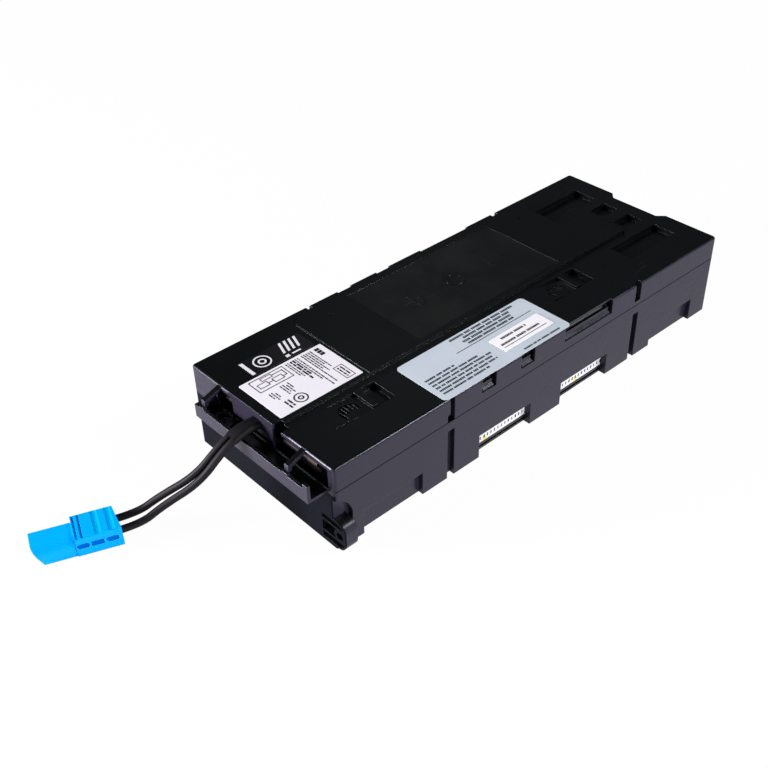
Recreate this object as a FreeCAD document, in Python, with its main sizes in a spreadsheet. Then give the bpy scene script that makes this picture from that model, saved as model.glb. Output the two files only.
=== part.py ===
import FreeCAD, Part
import Sketcher
import math
import os

# UPS battery cartridge: four sealed lead-acid blocks lie flat in a row inside a two-piece black
# plastic case. The lower tray carries the batteries, the cover snaps on to it, and a short pair
# of leads runs from the cable end to a two-pole plug.
#
# Frame: the origin is the centre of the tray's underside, +Z is up, and +X points along the row
# away from the cable end. Lengths are in millimetres.

Vector = FreeCAD.Vector
BATTERIES = 4
SIDES = (-1, 1)

doc = FreeCAD.newDocument("battery_cartridge")

# ---------------------------------------------------------------- driving dimensions
SIZES = (
    # one battery block, lying on its broad face
    ("battery_length", 94.0), ("battery_width", 151.0), ("battery_thickness", 65.0),
    ("battery_radius", 3.0), ("lid_length", 8.0),
    ("vent_width", 104.0), ("vent_height", 24.0), ("vent_rise", 20.0), ("vent_thickness", 1.2),
    ("tab_length", 6.3), ("tab_width", 6.35), ("tab_thickness", 0.8),
    ("tab_offset", 58.0), ("tab_rise", 55.0),
    ("side_label_length", 72.0), ("side_label_height", 44.0), ("side_label_start", 11.0),
    ("side_label_rise", 5.0), ("film", 0.2),
    # case walls and the room that they leave
    ("wall", 2.5), ("tray_floor", 2.0), ("cover_wall", 2.2), ("deck", 2.0), ("inset_wall", 1.2),
    ("fit_gap", 0.3), ("side_gap", 3.45), ("front_gap", 9.5), ("battery_gap", 13.0),
    ("back_gap", 0.5), ("tray_height", 53.0), ("corner_radius", 3.0), ("edge_radius", 2.0),
    # tray sides: four recesses, two grooves and the low ribs that keep the batteries apart
    ("recess_length", 57.0), ("recess_height", 21.0), ("window_return", 2.0),
    ("recess_1_start", 12.0), ("recess_2_start", 21.0), ("recess_3_start", 7.0),
    ("recess_4_start", 15.5),
    ("groove_width", 7.0), ("groove_height", 45.0), ("groove_step", 2.5),
    ("groove_low_height", 7.0), ("groove_foot", 4.0),
    ("rib_height", 8.0), ("rib_thickness", 1.5), ("rib_length", 100.0),
    # snap tabs of the tray in the cover's windows
    ("snap_low", 8.0), ("snap_high", 10.0), ("snap_notch", 3.0), ("snap_margin", 2.0),
    ("snap_short", 15.0), ("snap_1_start", 22.0), ("snap_2_start", 64.0),
    ("snap_tab_thickness", 1.8), ("snap_tab_rise", 14.0), ("snap_root", 12.0),
    ("snap_hook", 1.8), ("snap_hook_height", 3.0), ("snap_hook_land", 1.0),
    # cable trough in front of the tray
    ("shelf_depth", 17.0), ("shelf_drop", 1.0), ("shelf_thickness", 2.5),
    ("shelf_near", 74.0), ("shelf_far", 55.0), ("lip_thickness", 2.5), ("lip_height", 8.7),
    ("post_width", 5.0), ("post_rise", 4.0), ("catch_width", 6.0), ("catch_rise", 1.6),
    ("boss_x", 8.0), ("boss_y", 31.5), ("boss_radius", 6.3), ("boss_wall", 1.8),
    ("boss_height", 6.0), ("boss_slot", 5.0), ("stem_radius", 3.2), ("stem_length", 5.5),
    ("screw_head", 3.4), ("screw_head_height", 2.4), ("screw_shank", 1.45),
    ("screw_length", 7.0), ("screw_cross", 0.9), ("screw_cross_depth", 1.2),
    # fixing lug on the near corner
    ("lug_length", 11.0), ("lug_reach", 8.5), ("lug_root", 17.5), ("lug_low", 2.0),
    ("lug_top", 27.0), ("lug_wall", 1.8), ("lug_rib", 1.5), ("lug_core", 8.5),
    ("lug_bore", 3.3), ("lug_boss", 6.0), ("lug_bore_inset", 2.5), ("lug_round", 8.0),
    ("lug_rib_low", 7.2), ("lug_rib_high", 18.2),
    ("corner_cut", 19.5), ("corner_cut_back", 5.0), ("corner_cut_z", 26.0),
    # cover top
    ("pocket_depth", 4.9), ("pocket_floor", 1.4), ("strip_step", 0.9), ("plateau_step", 1.5),
    ("strip_end", 87.0), ("strip_near", 20.5), ("strip_far", 35.0),
    ("plateau_end", 381.0), ("plateau_far", 75.0), ("plateau_chamfer", 9.0),
    ("plateau_waist", 350.0), ("plateau_shoulder", 8.0), ("plateau_elbow", 30.0),
    ("channel_width", 7.0), ("channel_depth", 0.9), ("channel_bevel", 7.0),
    ("panel_start", 141.0), ("panel_length", 160.0), ("panel_near", 15.0), ("panel_width", 83.0),
    ("panel_depth", 0.4), ("motif_rib", 1.2), ("motif_radius", 9.0), ("motif_pitch", 46.0),
    ("motif_ring", 6.0), ("gate_radius", 1.6), ("gate_depth", 0.3),
    ("end_notch_depth", 8.0), ("end_notch_half", 30.0), ("end_notch_bevel", 7.0),
    # latch tongues in the near strip of the cover
    ("tongue_start", 37.0), ("tongue_pitch", 220.0), ("tongue_length", 32.0),
    ("tongue_far", 28.0), ("tongue_near", 50.0), ("tongue_sink", 3.0), ("tongue_hole", 14.0),
    ("tongue_step", 5.0), ("slit_width", 1.2), ("slit_lead", 9.0),
    ("grip_centre", 13.0), ("grip_y", 42.0), ("grip_radius", 9.5), ("grip_floor", 2.0),
    ("grip_rib", 1.2), ("grip_pitch", 3.4), ("grip_depth", 0.2),
    # cable end of the cover
    ("arm_length", 15.0), ("arm_width", 4.5), ("arm_root", 0.5), ("arm_height", 2.2),
    ("arm_tip", 3.0), ("arm_hook", 5.0), ("arm_far", 46.0), ("arm_near", 50.0),
    ("open_near", 75.0), ("open_far", 16.0), ("open_header", 1.6),
    ("slot_near", 31.0), ("slot_far", 50.0), ("notch_length", 7.0), ("notch_width", 9.0),
    ("notch_far", 17.0), ("brow_rise", 4.0), ("front_rib", 2.0),
    # leads, sleeve and the lead ends on the tabs
    ("lead_diameter", 5.6), ("wire_diameter", 5.0), ("lead_spacing", 5.72),
    ("sleeve_wall", 0.5), ("bore_gap", 0.05),
    ("exit_y", 2.0), ("exit_z", 65.4), ("sleeve_outside", 22.0), ("inner_bend", 6.0),
    ("wire_gap", 0.3), ("jumper_y", 9.0), ("drop_start", 10.5), ("drop_end", 4.5),
    ("slant_y", 29.0),
    ("barrel_radius", 3.1), ("barrel_length", 8.0), ("barrel_grip", 5.0),
    ("receptacle_width", 7.6), ("receptacle_height", 2.6), ("receptacle_length", 6.0),
    ("receptacle_gap", 0.1),
    # two-pole plug that lies in front of the cartridge, turned a little
    ("plug_x", 105.0), ("plug_y", 25.8), ("plug_angle", 21.5),
    ("plug_length", 62.0), ("plug_width", 25.0), ("plug_height", 17.3), ("plug_rear", 32.5),
    ("nose_height", 15.0), ("nose_near", 0.8), ("nose_far", 3.5), ("nose_bevel", 7.0),
    ("nose_round", 7.0), ("plug_radius", 1.2), ("plug_slant", 3.0),
    ("dent_radius", 7.0), ("dent_depth", 0.4), ("dent_start", 6.5), ("dent_pitch", 9.5),
    ("plug_pitch", 12.4), ("plug_axis_z", 9.0), ("plug_bore", 4.4), ("plug_bore_depth", 24.0),
    ("plug_wall", 1.4), ("mouth_depth", 20.0), ("mouth_low", 3.6), ("mouth_height", 9.6),
    ("plug_slot_width", 8.6), ("plug_slot_height", 4.2), ("plug_slot_start", 3.0),
    ("plug_slot_pitch", 10.2), ("plug_slot_depth", 1.0), ("plug_slot_z", 9.2),
    ("plug_groove", 1.6), ("plug_groove_depth", 0.8), ("plug_groove_start", 26.5),
    ("plug_groove_pitch", 3.7),
    ("lead_insert", 8.0), ("contact_start", 3.0), ("contact_length", 14.0),
    ("blade_height", 6.4), ("blade_thickness", 1.6), ("blade_inset", 4.0),
    # labels on the cover
    ("rating_start", 8.3), ("rating_length", 76.0), ("rating_near", 16.0), ("rating_width", 49.5),
    ("dark_start", 24.0), ("dark_length", 58.0), ("dark_near", 36.5), ("dark_width", 20.5),
    ("caution_start", 104.0), ("caution_length", 136.0), ("caution_far", 28.5),
    ("caution_width", 52.5), ("label_radius", 4.0), ("label_corner", 1.0),
    ("sticker_start", 178.0), ("sticker_length", 54.0), ("sticker_far", 52.0),
    ("sticker_width", 18.0),
)

dims = doc.addObject("Spreadsheet::Sheet", "Dims")
for row, (alias, value) in enumerate(SIZES, start=1):
    dims.set(f"A{row}", alias)
    dims.set(f"B{row}", str(value))
    dims.setAlias(f"B{row}", alias)

# ---------------------------------------------------------------- places worked out from them
PLACES = (
    ("pitch", "Dims.battery_length + Dims.battery_gap"),
    ("case_length", f"2 * Dims.wall + Dims.front_gap + {BATTERIES} * Dims.battery_length"
                    f" + {BATTERIES - 1} * Dims.battery_gap + Dims.back_gap"),
    ("front", "-Place.case_length / 2"),
    ("back", "Place.case_length / 2"),
    ("first", "Place.front + Dims.wall + Dims.front_gap"),
    ("battery_side", "Dims.battery_width / 2"),
    ("side", "Place.battery_side + Dims.side_gap + Dims.wall"),
    ("inset_inner", "Place.battery_side + Dims.fit_gap"),
    ("inset_outer", "Place.inset_inner + Dims.inset_wall"),
    ("battery_top", "Dims.tray_floor + Dims.battery_thickness"),
    ("deck_z", "Place.battery_top + Dims.fit_gap + Dims.pocket_floor + Dims.pocket_depth"),
    ("ceiling", "Place.deck_z - Dims.deck"),
    ("strip_z", "Place.deck_z + Dims.strip_step"),
    ("plateau_z", "Place.deck_z + Dims.plateau_step"),
    ("pocket_z", "Place.deck_z - Dims.pocket_depth"),
    ("pocket_under", "Place.pocket_z - Dims.pocket_floor"),
    ("shelf_z", "Dims.tray_height - Dims.shelf_drop"),
    ("shelf_front", "Place.front - Dims.shelf_depth"),
    ("lip_z", "Place.shelf_z + Dims.lip_height"),
    ("lug_y", "Place.side + Dims.lug_reach"),
    ("lug_axis_y", "Place.side + Dims.lug_bore_inset"),
    ("lug_axis_z", "(Dims.lug_low + Dims.lug_top) / 2"),
    ("snap_z", "Dims.tray_height + Dims.snap_low"),
    ("wire_x", "Dims.tab_length / 2 + Dims.fit_gap"),
    ("wire_z", "Place.battery_top + Dims.wire_diameter / 2 + Dims.wire_gap"),
    ("tab_z", "Dims.tray_floor + Dims.tab_rise"),
    ("barrel_end", "Dims.tab_offset - Dims.receptacle_width / 2 - Dims.barrel_length"),
    ("brow_z", "Dims.tray_height + Dims.brow_rise"),
    ("open_z", "Place.ceiling - Dims.open_header"),
    ("arm_root_z", "Place.deck_z - Dims.arm_root"),
    ("arm_foot_z", "Place.lip_z + Dims.catch_rise + Dims.fit_gap"),
    ("arm_tip_z", "Place.arm_foot_z + Dims.arm_hook"),
    ("sleeve_radius", "Dims.lead_diameter / 2 + Dims.sleeve_wall"),
)
place = doc.addObject("App::VarSet", "Place")
for name, formula in PLACES:
    place.addProperty("App::PropertyFloat", name, "Place")
    place.setExpression(name, formula)
doc.recompute()


# ---------------------------------------------------------------- modelling helpers
TURNS = {
    "XY": FreeCAD.Rotation(),
    "XZ": FreeCAD.Rotation(Vector(1, 0, 0), 90),
    "YZ": FreeCAD.Rotation(Vector(1, 1, 1), 120),
}
ALONG = {"X": FreeCAD.Rotation(Vector(0, 1, 0), 90), "Y": FreeCAD.Rotation(Vector(1, 0, 0), -90),
         "Z": FreeCAD.Rotation()}
NEARLY = 1e-6

pieces = []


def piece(target, name):
    """Keep an object as one of the named pieces of the cartridge."""
    target.Label = name
    pieces.append(target)
    return target


def plane_of(body, role):
    """One of a body's own origin planes."""
    return next(f for f in body.Origin.OriginFeatures if getattr(f, "Role", "") == role)


def bind(target, **formulas):
    """Bind properties to formulas; a double underscore stands for a dot."""
    for prop, formula in formulas.items():
        target.setExpression(prop.replace("__", "."), formula)
    return target


def move(target, x="0", y="0", z="0"):
    return bind(target, Placement__Base__x=x, Placement__Base__y=y, Placement__Base__z=z)


def block(name, x, y, z):
    """Box between two corners; x, y and z are (low, high) pairs of formulas."""
    box = doc.addObject("Part::Box", name)
    bind(box, Length=f"({x[1]}) - ({x[0]})", Width=f"({y[1]}) - ({y[0]})",
         Height=f"({z[1]}) - ({z[0]})")
    return move(box, x[0], y[0], z[0])


def drum(name, axis, radius, length, x="0", y="0", z="0"):
    """Cylinder that starts at x, y, z and runs along +axis."""
    cylinder = doc.addObject("Part::Cylinder", name)
    cylinder.Placement.Rotation = ALONG[axis]
    bind(cylinder, Radius=radius, Height=length)
    return move(cylinder, x, y, z)


def prism(name, plane, corners, low, high):
    """Straight prism over a polygon; corners are pairs of formulas in the named plane."""
    sketch = doc.addObject("Sketcher::SketchObject", name + "_outline")
    sketch.Placement.Rotation = TURNS[plane]
    start = {"XY": {"z": low}, "XZ": {"y": high}, "YZ": {"x": low}}[plane]
    move(sketch, **start)
    count = len(corners)
    rough = [Vector(math.cos(math.tau * n / count), math.sin(math.tau * n / count), 0)
             for n in range(count)]
    for index in range(count):
        sketch.addGeometry(Part.LineSegment(rough[index], rough[(index + 1) % count]))
    for index, corner in enumerate(corners):
        following = (index + 1) % count
        sketch.addConstraint(Sketcher.Constraint("Coincident", index, 2, following, 1))
        for kind, formula in zip(("DistanceX", "DistanceY"), corner):
            number = sketch.addConstraint(Sketcher.Constraint(kind, -1, 1, index, 1, 1.0))
            sketch.renameConstraint(number, f"{kind}{index}")
            sketch.setExpression(f"Constraints.{kind}{index}", formula)
    solid = doc.addObject("Part::Extrusion", name)
    solid.Base = sketch
    solid.DirMode = "Normal"
    solid.Solid = True
    return bind(solid, LengthFwd=f"({high}) - ({low})")


def soft_block(name, x, y, z, *rounds):
    """Body that fills a box and has edges rounded; rounds holds (radius, edge test) pairs."""
    body = doc.addObject("PartDesign::Body", name)
    move(body, x[0], y[0], z[0])
    sketch = body.newObject("Sketcher::SketchObject", name + "_sketch")
    sketch.AttachmentSupport = (plane_of(body, "XY_Plane"), [""])
    sketch.MapMode = "FlatFace"
    corners = (Vector(0, 0, 0), Vector(1, 0, 0), Vector(1, 1, 0), Vector(0, 1, 0))
    for index, corner in enumerate(corners):
        sketch.addGeometry(Part.LineSegment(corner, corners[(index + 1) % 4]))
    for index in range(4):
        sketch.addConstraint(Sketcher.Constraint("Coincident", index, 2, (index + 1) % 4, 1))
        level = ("Horizontal", "Vertical")[index % 2]
        sketch.addConstraint(Sketcher.Constraint(level, index))
    sketch.addConstraint(Sketcher.Constraint("Coincident", 0, 1, -1, 1))
    for kind, line, (low, high) in (("DistanceX", 0, x), ("DistanceY", 1, y)):
        number = sketch.addConstraint(Sketcher.Constraint(kind, line, 1, line, 2, 1.0))
        sketch.renameConstraint(number, kind)
        sketch.setExpression(f"Constraints.{kind}", f"({high}) - ({low})")
    pad = body.newObject("PartDesign::Pad", name + "_pad")
    pad.Profile = sketch
    bind(pad, Length=f"({z[1]}) - ({z[0]})")
    doc.recompute()
    for number, (radius, test) in enumerate(rounds):
        tip = body.Tip
        edges = [f"Edge{n}" for n, edge in enumerate(tip.Shape.Edges, 1)
                 if test(edge, tip.Shape.BoundBox)]
        fillet = body.newObject("PartDesign::Fillet", f"{name}_round_{number}")
        fillet.Base = (tip, edges)
        bind(fillet, Radius=radius)
        doc.recompute()
    return body


def runs_along(axis):
    """Edge test: straight edges parallel to an axis of the block."""
    def test(edge, box):
        return edge.BoundBox.DiagonalLength - getattr(edge.BoundBox, axis + "Length") < NEARLY
    return test


def at_top(edge, box):
    """Edge test: the outline of the upper face."""
    return edge.BoundBox.ZMin > box.ZMax - NEARLY


def top_near(edge, box):
    """Edge test: the upper edge along X on the low-Y side."""
    return runs_along("X")(edge, box) and at_top(edge, box) and edge.BoundBox.YMax < NEARLY


def outer_end(edge, box):
    """Edge test: the edges along X at the low-Y end."""
    return runs_along("X")(edge, box) and edge.BoundBox.YMax < NEARLY


def fuse(name, *parts):
    joined = doc.addObject("Part::MultiFuse", name)
    joined.Shapes = list(parts)
    return joined


def cut(name, base, *tools):
    less = doc.addObject("Part::Cut", name)
    less.Base = base
    less.Tool = tools[0] if len(tools) == 1 else fuse(name + "_tools", *tools)
    return less


def span(side, low, high):
    """(low, high) on the +Y side, or the same distances mirrored to the -Y side."""
    return (low, high) if side > 0 else (f"-({high})", f"-({low})")


def cell(number, offset):
    """X position measured from the terminal face of a battery."""
    return f"Place.first + {number} * Place.pitch + {offset}"


def from_front(offset):
    """X position measured from the cable end of the case."""
    return f"Place.front + {offset}"


def about(centre, half):
    return (f"{centre} - {half}", f"{centre} + {half}")


# ---------------------------------------------------------------- lower tray
# (battery number, start, depth reached) of the recess in front of each battery
RECESSES = (
    (0, "Dims.recess_1_start", "Place.inset_outer"),
    (1, "Dims.recess_2_start", "Place.battery_side"),
    (2, "Dims.recess_3_start", "Place.battery_side"),
    (3, "Dims.recess_4_start", "Place.inset_outer"),
)
GROOVED = (0, 2)
# (battery number, start, length) of the snap windows on each long side
SNAPS = (
    (1, "Dims.snap_1_start", "Dims.snap_short"),
    (1, "Dims.snap_2_start", "Dims.snap_short"),
    (2, "Dims.recess_3_start", "Dims.recess_length"),
)
wall_middle = "Place.side - Dims.wall / 2"
inner_face = "Place.side - Dims.wall"
beyond = "Place.side + Dims.wall"

shell = soft_block("tray_shell", ("Place.front", "Place.back"), ("-Place.side", "Place.side"),
                   ("0", "Dims.tray_height"), ("Dims.corner_radius", runs_along("Z")))
room = block("tray_room", (from_front("Dims.wall"), "Place.back - Dims.wall"),
             span(-1, f"-({inner_face})", inner_face),
             ("Dims.tray_floor", "Dims.tray_height + Dims.wall"))

backings = []
openings = []
for side in SIDES:
    tag = "far" if side > 0 else "near"
    for number, start, depth in RECESSES:
        low = cell(number, start)
        backings.append(block(
            f"backing_{tag}_{number}",
            (f"{low} - Dims.window_return", f"{low} + Dims.recess_length + Dims.window_return"),
            span(side, "Place.inset_inner", wall_middle),
            ("Dims.tray_floor / 2", "Dims.recess_height + Dims.wall")))
        openings.append(block(
            f"recess_{tag}_{number}", (low, f"{low} + Dims.recess_length"),
            span(side, depth, beyond), ("-Dims.wall", "Dims.recess_height")))
    for number in GROOVED:
        low = cell(number, "Dims.battery_length")
        backings.append(block(
            f"groove_backing_{tag}_{number}",
            (f"{low} - Dims.window_return", f"{low} + Dims.groove_width + Dims.window_return"),
            span(side, "Place.inset_inner", wall_middle),
            ("Dims.tray_floor / 2", "Dims.groove_height + Dims.wall")))
        openings.append(block(
            f"groove_{tag}_{number}", (low, f"{low} + Dims.groove_width"),
            span(side, "Place.inset_outer", beyond), ("-Dims.wall", "Dims.groove_height")))

backings.append(block(
    "corner_backing",
    (from_front("Dims.wall / 2"),
     from_front("Dims.corner_cut - Dims.corner_cut_back + Dims.window_return")),
    span(-1, "Place.inset_inner", wall_middle),
    ("Dims.tray_floor / 2", "Dims.corner_cut_z + Dims.corner_cut + Dims.window_return")))
openings.append(drum(
    "corner_cut_round", "Y", "Dims.corner_cut", f"{beyond} - Place.inset_outer",
    x=from_front("-Dims.corner_cut_back"), y=f"-({beyond})", z="Dims.corner_cut_z"))

rib_y = about("0", "Dims.rib_length / 2")
rib_z = ("Dims.tray_floor / 2", "Dims.tray_floor + Dims.rib_height")
ribs = []
for number in range(BATTERIES):
    ribs.append(block(f"rib_front_{number}",
                      (cell(number, "0 - Dims.fit_gap - Dims.rib_thickness"),
                       cell(number, "0 - Dims.fit_gap")), rib_y, rib_z))
    if number < BATTERIES - 1:
        behind = cell(number, "Dims.battery_length + Dims.fit_gap")
        ribs.append(block(f"rib_back_{number}", (behind, f"{behind} + Dims.rib_thickness"),
                          rib_y, rib_z))

snap_tabs = []
for side in SIDES:
    tag = "far" if side > 0 else "near"
    for index, (number, start, length) in enumerate(SNAPS):
        low = cell(number, f"{start} + Dims.snap_margin")
        high = cell(number, f"{start} + {length} - Dims.snap_margin")
        snap_tabs.append(block(
            f"snap_tab_{tag}_{index}", (low, high),
            span(side, f"{inner_face} - Dims.snap_tab_thickness", inner_face),
            ("Dims.tray_height - Dims.snap_root", "Dims.tray_height + Dims.snap_tab_rise")))
        sign = "" if side > 0 else "-"
        root = f"{sign}({inner_face} - Dims.snap_tab_thickness / 2)"
        tip = f"{sign}({inner_face} + Dims.snap_hook)"
        foot = "Place.snap_z + Dims.fit_gap"
        snap_tabs.append(prism(
            f"snap_hook_{tag}_{index}", "YZ",
            ((root, foot), (tip, foot), (tip, f"{foot} + Dims.snap_hook_land"),
             (root, f"{foot} + Dims.snap_hook_height")), low, high))

tray_walls = cut("tray_walls", shell, room)
tray_lined = fuse("tray_lined", tray_walls, *backings)
tray_opened = cut("tray_opened", tray_lined, *openings)

# cable trough: a shelf with a lip, an end wall, a post, two catches and a screw boss
trough_y = ("-Dims.shelf_near", "Dims.shelf_far")
under_shelf = "Place.shelf_z - Dims.shelf_thickness"
lip_x = ("Place.shelf_front", "Place.shelf_front + Dims.lip_thickness")
trough = [
    block("shelf", ("Place.shelf_front", from_front("Dims.wall / 2")), trough_y,
          (under_shelf, "Place.shelf_z")),
    block("lip", lip_x, trough_y, (under_shelf, "Place.lip_z")),
    block("shelf_end", ("Place.shelf_front", from_front("-Dims.fit_gap")),
          ("Dims.shelf_far - Dims.lip_thickness", "Dims.shelf_far"),
          (under_shelf, "Place.lip_z")),
    block("shelf_post", lip_x, ("-Dims.shelf_near", "Dims.post_width - Dims.shelf_near"),
          (under_shelf, "Place.lip_z + Dims.post_rise")),
]
ARMS = ("Dims.arm_far", "-Dims.arm_near")
for index, arm_y in enumerate(ARMS):
    trough.append(block(f"catch_{index}", lip_x, about(arm_y, "Dims.catch_width / 2"),
                        ("Place.shelf_z", "Place.lip_z + Dims.catch_rise")))
boss_x = from_front("-Dims.boss_x")
boss_at = {"x": boss_x, "y": "Dims.boss_y"}
trough.append(drum("boss", "Z", "Dims.boss_radius", "Dims.boss_height", z="Place.shelf_z",
                   **boss_at))
trough.append(drum("boss_stem", "Z", "Dims.stem_radius", "Dims.stem_length + Dims.shelf_thickness",
                   z="Place.shelf_z - Dims.shelf_thickness - Dims.stem_length", **boss_at))
boss_room = drum("boss_room", "Z", "Dims.boss_radius - Dims.boss_wall",
                 "Dims.boss_height + Dims.wall", z="Place.shelf_z", **boss_at)
boss_mouth = block("boss_mouth", (boss_x, f"{boss_x} + Dims.boss_radius + Dims.fit_gap"),
                   about("Dims.boss_y", "Dims.boss_slot / 2"),
                   ("Place.shelf_z", "Place.shelf_z + Dims.boss_height + Dims.wall"))
screw_bore = drum("screw_bore", "Z", "Dims.screw_shank + Dims.bore_gap",
                  "Dims.screw_length + Dims.fit_gap",
                  z="Place.shelf_z - Dims.screw_length - Dims.fit_gap", **boss_at)
trough_done = cut("trough_done", fuse("trough", *trough), boss_room, boss_mouth, screw_bore)

# fixing lug: an open-fronted box with two shelves and a bored boss
lug_bore_at = {"x": from_front("-Dims.wall"), "y": "-Place.lug_axis_y", "z": "Place.lug_axis_z"}
lug_block = soft_block("lug_block", (from_front("0"), from_front("Dims.lug_length")),
                       ("-Place.lug_y", "Dims.lug_root - Place.side"),
                       ("Dims.lug_low", "Dims.lug_top"), ("Dims.lug_round", outer_end))
lug_hollow = soft_block(
    "lug_hollow", (from_front("-Dims.wall"), from_front("Dims.lug_core")),
    ("Dims.lug_wall - Place.lug_y", "Dims.lug_root - Place.side - Dims.lug_wall"),
    ("Dims.lug_low + Dims.lug_wall", "Dims.lug_top - Dims.lug_wall"),
    ("Dims.lug_round - Dims.lug_wall", outer_end))
lug_inside = [drum("lug_ring", "X", "Dims.lug_boss", "Dims.lug_length", x=from_front("0"),
                   y="-Place.lug_axis_y", z="Place.lug_axis_z")]
for index, rise in enumerate(("Dims.lug_rib_low", "Dims.lug_rib_high")):
    lug_inside.append(block(
        f"lug_rib_{index}", (from_front("0"), from_front("Dims.lug_core + Dims.lug_rib / 2")),
        ("Dims.lug_wall / 2 - Place.lug_y", "Dims.lug_root - Place.side - Dims.lug_wall / 2"),
        about(f"Dims.lug_low + {rise}", "Dims.lug_rib / 2")))
lug_bore = drum("lug_bore_hole", "X", "Dims.lug_bore", "Dims.lug_length + 2 * Dims.wall",
                **lug_bore_at)

tray_with_lug = fuse("tray_with_lug", tray_opened, lug_block)
tray_hollowed = cut("tray_hollowed", tray_with_lug, lug_hollow)
tray_joined = fuse("tray_joined", tray_hollowed, trough_done, *lug_inside, *ribs, *snap_tabs)
piece(cut("lower_tray", tray_joined, lug_bore), "lower_tray")

screw_top = drum("screw_top", "Z", "Dims.screw_head", "Dims.screw_head_height",
                 z="Place.shelf_z", **boss_at)
screw_stem = drum("screw_stem", "Z", "Dims.screw_shank", "Dims.screw_length",
                  z="Place.shelf_z - Dims.screw_length", **boss_at)
cross_z = ("Place.shelf_z + Dims.screw_head_height - Dims.screw_cross_depth",
           "Place.shelf_z + Dims.screw_head_height + Dims.fit_gap")
cross_long = "Dims.screw_head * 0.6"
cross_slim = "Dims.screw_cross / 2"
cross = [block("cross_x", about(boss_x, cross_long), about("Dims.boss_y", cross_slim), cross_z),
         block("cross_y", about(boss_x, cross_slim), about("Dims.boss_y", cross_long), cross_z)]
piece(cut("shelf_screw", fuse("screw_solid", screw_top, screw_stem), *cross), "shelf_screw")

# ---------------------------------------------------------------- top cover
above = "Place.plateau_z + Dims.wall"
cover_shell = soft_block("cover_shell", ("Place.front", "Place.back"),
                         ("-Place.side", "Place.side"), ("Dims.tray_height", "Place.deck_z"),
                         ("Dims.corner_radius", runs_along("Z")), ("Dims.edge_radius", at_top))
cover_room = block("cover_room", (from_front("Dims.cover_wall"), "Place.back - Dims.cover_wall"),
                   span(-1, "Dims.cover_wall - Place.side", "Place.side - Dims.cover_wall"),
                   ("Dims.tray_height - Dims.wall", "Place.ceiling"))
cover_box = cut("cover_box", cover_shell, cover_room)

strip = block("strip", ("Place.front", from_front("Dims.strip_end")),
              ("-Dims.strip_near", "Dims.strip_far"), ("Place.ceiling", "Place.strip_z"))
plateau_foot = from_front("Dims.strip_end")
plateau_tip = from_front("Dims.plateau_end")
plateau_waist = from_front("Dims.plateau_waist")
plateau_corner = "Dims.plateau_far - Dims.plateau_chamfer"
plateau = prism("plateau", "XY", (
    (plateau_foot, "-Dims.strip_near"), (plateau_tip, "-Dims.strip_near"),
    (plateau_tip, "Dims.plateau_shoulder"), (plateau_waist, "Dims.plateau_elbow"),
    (plateau_waist, plateau_corner),
    (f"{plateau_waist} - Dims.plateau_chamfer", "Dims.plateau_far"),
    (f"{plateau_foot} + Dims.plateau_chamfer", "Dims.plateau_far"),
    (plateau_foot, plateau_corner)), "Place.ceiling", "Place.plateau_z")

# (low x, high x, low y, high y) of the pockets at the far end, from the cable end of the case
POCKETS = ((350.0, 409.0, 34.0, 56.0), (388.0, 408.0, 8.0, 23.0),
           (387.0, 408.0, -19.0, -4.0), (350.0, 409.0, -53.0, -31.0))
under_z = ("Place.pocket_under", "Place.ceiling + Dims.deck / 2")
pocket_cut_z = ("Place.pocket_z", above)
under_blocks = []
cover_cuts = []
for index, (x_low, x_high, y_low, y_high) in enumerate(POCKETS):
    under_blocks.append(block(
        f"pocket_under_{index}",
        (from_front(f"{x_low} - Dims.pocket_floor"), from_front(f"{x_high} + Dims.pocket_floor")),
        (f"{y_low} - Dims.pocket_floor", f"{y_high} + Dims.pocket_floor"), under_z))
    cover_cuts.append(block(
        f"pocket_{index}", (from_front(f"{x_low}"), from_front(f"{x_high}")),
        (f"{y_low}", f"{y_high}"), pocket_cut_z))

notch_inner = "Place.back - Dims.end_notch_depth"
notch_half = "Dims.end_notch_half"
notch_flat = f"({notch_half} - Dims.end_notch_bevel)"
notch_bevel_x = f"{notch_inner} + Dims.end_notch_bevel"
past_back = "Place.back + Dims.wall"
under_blocks.append(block(
    "end_notch_under", (f"{notch_inner} - Dims.pocket_floor", "Place.back - Dims.cover_wall / 2"),
    about("0", f"{notch_half} + Dims.pocket_floor"), under_z))
cover_cuts.append(prism("end_notch", "XY", (
    (notch_inner, f"-{notch_flat}"), (notch_bevel_x, f"-{notch_half}"),
    (past_back, f"-{notch_half}"), (past_back, notch_half),
    (notch_bevel_x, notch_half), (notch_inner, notch_flat)), *pocket_cut_z))

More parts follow.
